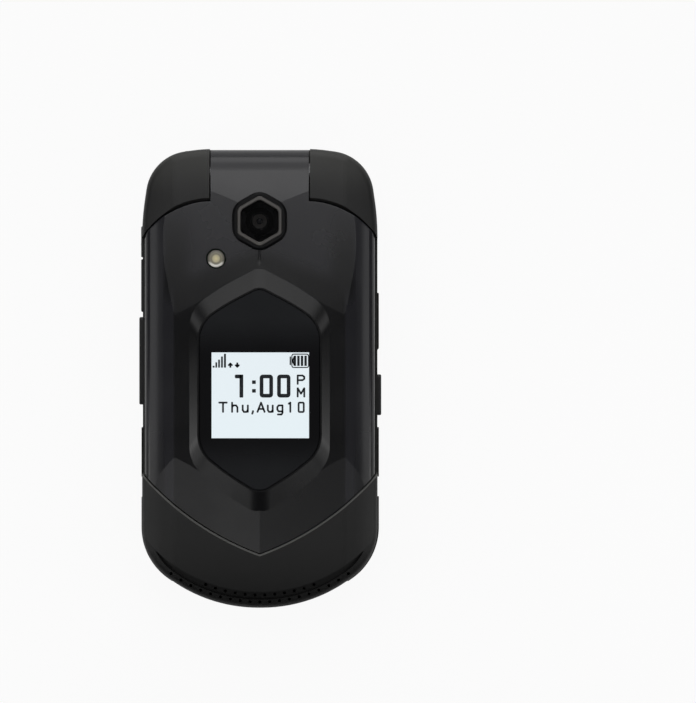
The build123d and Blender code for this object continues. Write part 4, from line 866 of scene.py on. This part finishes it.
# %% [markdown]
# ## Camera lens
# Under the camera's glass a stack of black rings steps down to a small domed lens. Rings and
# barrel are profiles turned about the lens axis, and the dome is a flattened sphere with a dark
# coated gloss.

# %% Lens materials
LENS_BARREL = finish("lens_barrel", (74, 72, 70), 0.45, vary=0.12, grain=4000, mottle=600, bump=0.1)


def tinted(name, dark, pale, grain_size, mottle_size):
    """Material whose colour wanders between two dark tones; also its tree, inputs and mottle."""
    material, tree, shader = new_material(name)
    tone = place_grain(tree, grain_size, mottle_size)["Tone"]
    tree.links.new(blend(tree, tone, colour(*dark), colour(*pale)), shader["Base Color"])
    return material, tree, shader, tone


def coated_glass():
    """Blue-black dome with a clear coat."""
    material, tree, shader, _ = tinted("coated_glass", (10, 12, 20), (22, 24, 36), 500, 900)
    feed(tree, shader, {"Roughness": 0.04, "Coat Weight": 1.0, "Coat Roughness": 0.02})
    return material


def smoky_glass():
    """Thin dark cover glass: mostly clear, glossy."""
    material, tree, shader, tone = tinted("smoky_glass", (6, 6, 7), (10, 10, 11), 4000, 120)
    feed(tree, shader, {"Roughness": spread(tree, tone, 0.04, 0.08), "Alpha": 0.35})
    return material


# %% Camera lens
LENS_AXIS = sum(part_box("camera_glass"), Vector()) / 2
MODULE_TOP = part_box("camera_module")[1].z
#   piece: material and profile, as radius and height over the module's top in millimetres
LENS_STACK = {
    "camera_lens_rings": (SATIN_BLACK, (
        (2.3, -0.75), (2.3, 0.03), (2.15, 0.05), (1.95, -0.2), (1.8, -0.25), (1.8, -0.75),
        (2.3, -0.75),
    )),
    "camera_lens_barrel": (LENS_BARREL, (
        (1.78, -0.78), (1.78, -0.28), (1.7, -0.25), (0.85, -0.45), (0.75, -0.78), (1.78, -0.78),
    )),
}
DOME_RADIUS, DOME_DEPTH = 0.8 * MM, 0.75 * MM


def turned(bm, profile, centre, segments=48):
    """Revolve a closed profile of (radius, height) points about a vertical axis."""
    points = [bm.verts.new((centre.x + r, centre.y, z)) for r, z in profile]
    edges = [bm.edges.new(pair) for pair in zip(points, points[1:])]
    bmesh.ops.spin(
        bm, geom=points + edges, cent=centre, axis=(0, 0, 1), angle=2 * pi, steps=segments,
        use_merge=True,
    )
    bmesh.ops.remove_doubles(bm, verts=bm.verts, dist=1e-7)
    bmesh.ops.recalc_face_normals(bm, faces=bm.faces)


for name, (material, profile) in LENS_STACK.items():
    ring = bmesh.new()
    turned(ring, [(r * MM, MODULE_TOP + z * MM) for r, z in profile], LENS_AXIS)
    new_piece(name, ring, material, "lid")

dome = bmesh.new()
bmesh.ops.create_uvsphere(dome, u_segments=32, v_segments=16, radius=DOME_RADIUS)
bmesh.ops.scale(dome, vec=(1, 1, 0.5), verts=dome.verts)
bmesh.ops.translate(dome, vec=(LENS_AXIS.x, LENS_AXIS.y, MODULE_TOP - DOME_DEPTH), verts=dome.verts)
for face in dome.faces:
    face.smooth = True
new_piece("camera_lens_dome", dome, coated_glass(), "lid")
dress("camera_glass", smoky_glass())
print("lens on", [round(value, 4) for value in LENS_AXIS])

# %% [markdown]
# ## Flash
# The flash sits behind a milky lens with fine concentric steps. The steps are a ring wave about
# the lens's own axis, used as a bump. The middle is warmer where the phosphor shows through. The
# greys round it, darker towards the rim, are painted shade, and a crescent of painted highlight
# lies on the bowl's lower side.

# %% Flash lens
FLASH_STEPS = 700
# Warm middle: the phosphor's colour. The greys outwards, darker at the rim, are painted shade.
FLASH_TONES_AND_SHADE = (                         # share of the radius, tone
    (0.0, (232, 221, 176)), (0.36, (205, 196, 160)), (0.52, (134, 129, 112)),
    (0.68, (146, 141, 126)), (0.86, (104, 101, 92)), (1.0, (88, 86, 80)),
)
# Painted highlight: a bright crescent on the lower side of the bowl.
FLASH_PAINTED_HIGHLIGHT = (250, 248, 240)
HIGHLIGHT_TOP, HIGHLIGHT_INNER = (-1.35, -0.5), (1.7, 1.3)


def mapping(tree, vector, label, value):
    node = tree.nodes.new("ShaderNodeMapping")
    feed(tree, node.inputs, {"Vector": vector, label: value})
    return node.outputs["Vector"]


def flash_finish():
    material, tree, shader = new_material("flash_lens")
    low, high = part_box("flash_lens")
    centred = mapping(tree, object_coordinates(tree), "Location", -(low + high) / 2)
    waves = tree.nodes.new("ShaderNodeTexWave")
    waves.wave_type = "RINGS"
    waves.rings_direction = "Z"
    feed(tree, waves.inputs, {"Vector": centred, "Scale": FLASH_STEPS})
    steps = relief(tree, waves.outputs["Fac"], 0.5, 0.05 * MM)
    length = tree.nodes.new("ShaderNodeVectorMath")
    length.operation = "LENGTH"
    tree.links.new(mapping(tree, centred, "Scale", (1, 1, 0)), length.inputs[0])
    reach = length.outputs["Value"]
    ramp = tree.nodes.new("ShaderNodeValToRGB")
    stops = ramp.color_ramp.elements
    for index, (place, tone) in enumerate((FLASH_TONES_AND_SHADE[0], FLASH_TONES_AND_SHADE[-1])):
        stops[index].position = place
        stops[index].color = colour(*tone)
    for place, tone in FLASH_TONES_AND_SHADE[1:-1]:
        stops.new(place).color = colour(*tone)
    tree.links.new(maths(tree, "DIVIDE", reach, (high.x - low.x) / 2), ramp.inputs["Fac"])
    along = axes_of(tree, centred)["Y"]
    # The crescent of painted highlight, on the lower side.
    highlight_crescent = times(tree, fade(tree, along, *HIGHLIGHT_TOP), fade(tree, reach, *HIGHLIGHT_INNER))
    milky = over(tree, highlight_crescent, ramp.outputs["Color"], FLASH_PAINTED_HIGHLIGHT)
    feed(tree, shader, {"Base Color": milky, "Normal": steps, "Roughness": 0.25})
    return material


dress("flash_lens", flash_finish())
print("flash rings", len(FLASH_TONES_AND_SHADE))

# %% [markdown]
# ## Key legends
# The keys are moulded caps; their signs are printed on top. Numbers and letters are those of any
# phone keypad. The call keys carry a handset sign in green and red, drawn as one pen line with
# heavy ends.

# %% Legends
LEGEND = finish("legend", (196, 200, 202), 0.5, vary=0.05, bump=0.05)
CALL_GREEN = finish("call_green", (60, 176, 84), 0.5, vary=0.06, bump=0.05)
CALL_RED = finish("call_red", (200, 52, 44), 0.5, vary=0.06, bump=0.05)
NUMBER_KEYS = {
    "key_1": ("1", ""), "key_2": ("2", "abc"), "key_3": ("3", "def"), "key_4": ("4", "ghi"),
    "key_5": ("5", "jkl"), "key_6": ("6", "mno"), "key_7": ("7", "pqrs"), "key_8": ("8", "tuv"),
    "key_9": ("9", "wxyz"), "key_star": ("*", ""), "key_0": ("0", "+"), "key_hash": ("#", ""),
}
NUMBER_HEIGHT, STAR_HEIGHT, LETTER_HEIGHT = 5.2 * MM, 6.5 * MM, 2.5 * MM
NUMBER_SHIFT = Vector((-3.2, 0, 0)) * MM        # of a number that shares its key with letters
LETTER_SHIFT = Vector((2.9, -0.1, 0)) * MM


def key_top(key):
    """Middle of a key's upper face, half a print's thickness up."""
    low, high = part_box(key)
    return Vector(((low.x + high.x) / 2, (low.y + high.y) / 2, high.z + PRINT / 2))


def legend(name, words, height, key, shift=Vector()):
    lettering(name, words, height, key_top(key) + shift, LEGEND, key + "_body")


for key, (number, letters) in NUMBER_KEYS.items():
    height = STAR_HEIGHT if number == "*" else NUMBER_HEIGHT
    if letters:
        legend(key + "_letters", letters, LETTER_HEIGHT, key, LETTER_SHIFT)
    legend(key + "_number", number, height, key, NUMBER_SHIFT if letters else Vector())
legend("ok_legend", "OK", 3.4 * MM, "ok_key")
legend("clear_legend", "CLR", 3.2 * MM, "clear_key")
print("number keys", len(NUMBER_KEYS))


# %% Signs of the call, soft and navigation keys
def key_sign(key, lines, width, material):
    """Pen lines in millimetres about the middle of a key's upper face."""
    middle = key_top(key) - Vector((0, 0, PRINT / 2))
    bm = bmesh.new()
    for line in lines:
        add_stroke(bm, [middle + Vector((x, y, 0)) * MM for x, y in line], width * MM)
    thicken(bm)
    return new_piece(key + "_sign", bm, material, key + "_body")


HANDSET = [
    [(-2.3, -0.5), (-1.5, 0.5), (0, 0.85), (1.5, 0.5), (2.3, -0.5)],
    [(-2.5, -0.75), (-1.6, -0.2)],
    [(1.6, -0.2), (2.5, -0.75)],
]
CHEVRON = [(6.6, -0.8), (7.4, 0), (6.6, 0.8)]
QUARTERS = ((1, 0), (0, 1), (-1, 0), (0, -1))
key_sign("send_key", HANDSET, 0.85, CALL_GREEN)
key_sign("end_key", HANDSET, 0.85, CALL_RED)
for side in ("left", "right"):
    key_sign(f"soft_key_{side}", [[(-1.9, 0), (1.9, 0)]], 0.5, LEGEND)
chevrons = [[(x * c - y * s, x * s + y * c) for x, y in CHEVRON] for c, s in QUARTERS]
key_sign("nav_ring", chevrons, 0.4, LEGEND)
print("key signs", 5)

# %% [markdown]
# ## Marks on the side keys
# The volume rocker has a raised plus and minus. They are flat marks on its outer face, so they are
# made lying down and then stood up against it.

# %% Side key marks
MARK_PLACE = 0.28               # of the rocker's length, from its middle
MARK_LENGTH, MARK_WIDTH, MARK_ROUND = 1.6 * MM, 0.35 * MM, 0.1 * MM
MARK_RISE, MARK_SUNK = 0.07 * MM, 0.02 * MM
PLUS_HALF = (0.62 * MM, 0.5 * MM)       # length of the plus's upright halves, and how far out
OUTWARD_LEFT = Matrix(((0, 0, -1, 0), (1, 0, 0, 0), (0, 1, 0, 0), (0, 0, 0, 1)))


def volume_marks():
    low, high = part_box("volume_rocker")
    middle, reach = (low + high) / 2, MARK_PLACE * (high.y - low.y)
    bm = bmesh.new()
    for y in (middle.y + reach, middle.y - reach):
        add_bar(bm, (y, 0, 0), (MARK_LENGTH, MARK_WIDTH), round_by=MARK_ROUND)
    for z in (-PLUS_HALF[1], PLUS_HALF[1]):
        add_bar(bm, (middle.y + reach, z, 0), (MARK_WIDTH, PLUS_HALF[0]), round_by=MARK_ROUND)
    thicken(bm, MARK_RISE)
    stand = Matrix.Translation((low.x + MARK_SUNK, 0, middle.z)) @ OUTWARD_LEFT
    bmesh.ops.transform(bm, matrix=stand, verts=bm.verts)
    bmesh.ops.recalc_face_normals(bm, faces=bm.faces)
    return new_piece("volume_marks", bm, KEY_CAP, "volume_rocker_body")


print("volume marks", len(volume_marks().data.polygons), "faces")

# %% [markdown]
# ## The inner display
# With the lid open the main display shows a plain start screen: a clock, the date and a row of
# tiles for the menus. It reads with its top away from the hinge and its face down, so every mark
# is turned over about X.

# %% Inner display figures
SCREEN_WHITE = lit_panel("screen_white", (240, 244, 248), (240, 244, 248), INNER_ENDS, 1.0)
SCREEN_TILE = lit_panel("screen_tile", (190, 214, 232), (190, 214, 232), INNER_ENDS, 0.8)
FACE_DOWN = Matrix.Rotation(pi, 4, "X")
MIDDLE_OF_PRINT = Vector((0, 0, -PRINT / 2))
BAR_PITCH, BAR_LOWEST, BAR_STEP = 0.95, 0.9, 0.55       # signal bars
TILE_PITCH, TILE_ROW = 9.0, -19.5


def on_screen(x, y):
    """Point on the inner display, right and up as it is read with the lid open, in millimetres."""
    return Vector((INNER_CENTRE.x + x * MM, INNER_CENTRE.y - y * MM, inner_low.z))


def screen_bar(bm, x, y, width, height, round_by=0.0, line=0.0, turn=0.0):
    size = (width * MM, height * MM)
    add_bar(bm, on_screen(x, y), size, turn=turn, round_by=round_by * MM, hollow_by=line * MM)


def status_marks():
    """Signal bars, a battery sign and the line below them."""
    bm = bmesh.new()
    for index in range(4):
        height = BAR_LOWEST + BAR_STEP * index
        screen_bar(bm, -17.5 + BAR_PITCH * index, 22.6 + height / 2, 0.6, height)
    screen_bar(bm, 15.8, 24.0, 4.2, 2.2, round_by=0.4, line=0.3)
    screen_bar(bm, 15.4, 24.0, 2.6, 1.2)
    screen_bar(bm, 0, 20.9, 37.0, 0.15)
    thicken(bm, -PRINT)
    return new_piece("screen_status_marks", bm, SCREEN_WHITE, "lid")


def menu_tiles():
    """Four frames, each with a square or a diamond in it."""
    bm = bmesh.new()
    for column in range(4):
        x = (column - 1.5) * TILE_PITCH
        turn = radians(45 * (column % 2))
        screen_bar(bm, x, TILE_ROW, 6.6, 6.6, round_by=1.4, line=0.45)
        screen_bar(bm, x, TILE_ROW, 2.6, 2.6, round_by=0.6, turn=turn)
    thicken(bm, -PRINT)
    return new_piece("screen_tiles", bm, SCREEN_TILE, "lid")


def screen_words(name, words, height, y):
    centre = on_screen(0, y) + MIDDLE_OF_PRINT
    return lettering(name, words, height * MM, centre, SCREEN_WHITE, "lid", FACE_DOWN)


shown = (
    status_marks(), menu_tiles(),
    screen_words("screen_clock", "1:00", 13.0, 9.5),
    screen_words("screen_date", "Thu, Aug 10", 4.6, 0.5),
)
print("inner display", [piece.name for piece in shown])

# %% [markdown]
# ## The back: dimples on the door
# A belt of small three-cornered dimples runs round the battery door, three or four rows wide, and
# stops at the raised grip bands. They are far too many and too shallow to model, so a repeated
# triangle in the door's own material is used as a bump, with painted shade as a darker tone in
# each dimple. The belt is where the distance to the door's edge is small, and the bands drop out
# by their height.

# %% Door measures
DOOR_SIDE, DOOR_TOP, DOOR_FOOT = 25.0 * MM, 51.8 * MM, -50.4 * MM
DOOR_FACE, FACE_SLACK = 0.5 * MM, 0.05 * MM     # height of the plate between the bands
FOOT_LEAN, FOOT_HALF = (0.443, 0.897), 9 * MM   # lower corners: outward direction, and start in X
EDGE_ROUND = 3 * MM                             # how softly the belt turns its corners
BELT = (0.7 * MM, 4.3 * MM)
DIMPLE_PITCH, DIMPLE_DEPTH = (1.55 * MM, 1.0 * MM), 0.15 * MM
DIMPLE_HALF, DIMPLE_TAPER = 0.38, 0.42          # half width of a dimple's foot, and how it narrows
# The dimple tone is painted shade.
DOOR_TONE, DIMPLE_PAINTED_SHADE = (27, 28, 27), (13, 14, 13)


# %% Door finish
def nearest(tree, *distances):
    """The smallest of several distances, rounded where two are alike."""
    smallest = distances[0]
    for distance in distances[1:]:
        smallest = maths(tree, "SMOOTH_MIN", smallest, distance, EDGE_ROUND)
    return smallest


def belt_mask(tree, across, y, z):
    """1 on the door's plate in a band along its edge."""
    foot = maths(tree, "SUBTRACT", y, DOOR_FOOT)
    past = maths(tree, "SUBTRACT", across, FOOT_HALF)
    corner = maths(
        tree, "SUBTRACT", times(tree, foot, FOOT_LEAN[1]), times(tree, past, FOOT_LEAN[0])
    )
    upper = nearest(
        tree, maths(tree, "SUBTRACT", DOOR_SIDE, across), maths(tree, "SUBTRACT", DOOR_TOP, y)
    )
    edge = nearest(tree, upper, nearest(tree, foot, corner))
    return times(
        tree, maths(tree, "GREATER_THAN", edge, BELT[0]), maths(tree, "LESS_THAN", edge, BELT[1]),
        maths(tree, "COMPARE", z, DOOR_FACE, FACE_SLACK),
    )


def triangles(tree, x, y):
    """1 in rows of small triangles, every other row shifted by half a pitch."""
    row = maths(tree, "DIVIDE", y, DIMPLE_PITCH[1])
    odd = maths(tree, "PINGPONG", maths(tree, "FLOOR", row), 1.0)
    column = maths(tree, "ADD", maths(tree, "DIVIDE", x, DIMPLE_PITCH[0]), times(tree, odd, 0.5))
    off = maths(tree, "ABSOLUTE", maths(tree, "SUBTRACT", maths(tree, "FRACT", column), 0.5))
    rise = times(tree, maths(tree, "FRACT", row), DIMPLE_TAPER)
    return maths(tree, "LESS_THAN", maths(tree, "ADD", off, rise), DIMPLE_HALF)


def door_finish():
    material, tree, shader = new_material("battery_door")
    texture = place_grain(tree, 2200, 50)
    axes = axes_of(tree, object_coordinates(tree))
    x, y, z = (axes[axis] for axis in "XYZ")
    belt = belt_mask(tree, maths(tree, "ABSOLUTE", x), y, z)
    dimple = times(tree, triangles(tree, x, y), belt)
    height = maths(tree, "SUBTRACT", times(tree, texture["Height"], 0.1), dimple)
    # Painted shade: each dimple is darker.
    plastic = blend(tree, dimple, colour(*DOOR_TONE), colour(*DIMPLE_PAINTED_SHADE))
    feed(tree, shader, {
        "Base Color": plastic, "Normal": relief(tree, height, 0.6, DIMPLE_DEPTH),
        "Roughness": spread(tree, texture["Tone"], 0.45, 0.55),
    })
    return material


dress("battery_door", door_finish())
print("door belt", BELT)

# %% [markdown]
# ## The back: signs round the lock
# Two bent arrows and two small padlocks show which way the lock turns. Each arrow is an arc turned
# about the lock's axis with a three-cornered head.

# %% Lock signs
LOCK_SIGN = finish("lock_sign", (9, 9, 9), 0.35, vary=0.05, bump=0.0)
LOCK_AXIS = sum(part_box("lock_screw"), Vector()) / 2
ARROWS = ((6.7 * MM, 65), (7.2 * MM, 245))      # radius, and the degrees at which its head points
ARROW_SWEEP, ARROW_LINE, ARROW_HEAD = 50, 0.35 * MM, 0.65 * MM
PADLOCK_AFTER = 9                               # degrees past the arrow's tail
PADLOCK, PADLOCK_ROUND = (1.2 * MM, 0.9 * MM), 0.12 * MM
SHACKLE_RISE, SHACKLE_RADIUS, SHACKLE_LINE = 0.45 * MM, 0.4 * MM, 0.22 * MM


def spoke(centre, radius, angle):
    """Point at a radius and an angle from a centre."""
    return centre + Vector((cos(angle), sin(angle), 0)) * radius


def arc_strip(bm, centre, radius, width, start, sweep):
    """Flat ring sector: a short radial line turned about the centre."""
    ends = [
        bm.verts.new(spoke(centre, reach, start))
        for reach in (radius - width / 2, radius + width / 2)
    ]
    line = bm.edges.new(ends)
    bmesh.ops.spin(bm, geom=ends + [line], cent=centre, axis=(0, 0, 1), angle=sweep, steps=10)


def arrow_head(bm, centre, size, turn):
    verts = bmesh.ops.create_circle(bm, cap_ends=True, segments=3, radius=size)["verts"]
    bmesh.ops.rotate(bm, matrix=Matrix.Rotation(turn, 3, "Z"), verts=verts)
    bmesh.ops.translate(bm, vec=centre, verts=verts)


def lock_signs():
    bm = bmesh.new()
    middle = Vector((LOCK_AXIS.x, LOCK_AXIS.y, DOOR_FACE))
    for radius, start in ARROWS:
        tip = radians(start)
        arc_strip(bm, middle, radius, ARROW_LINE, tip, radians(ARROW_SWEEP))
        arrow_head(bm, spoke(middle, radius, tip), ARROW_HEAD, tip - pi / 2)
        spot = spoke(middle, radius, radians(start + ARROW_SWEEP + PADLOCK_AFTER))
        add_bar(bm, spot, PADLOCK, round_by=PADLOCK_ROUND)
        shackle = spot + Vector((0, SHACKLE_RISE, 0))
        arc_strip(bm, shackle, SHACKLE_RADIUS, SHACKLE_LINE, 0.0, pi)
    bmesh.ops.remove_doubles(bm, verts=bm.verts, dist=1e-7)
    thicken(bm, -PRINT)
    return new_piece("lock_signs", bm, LOCK_SIGN, "door")


print("lock signs", len(lock_signs().data.polygons), "faces")
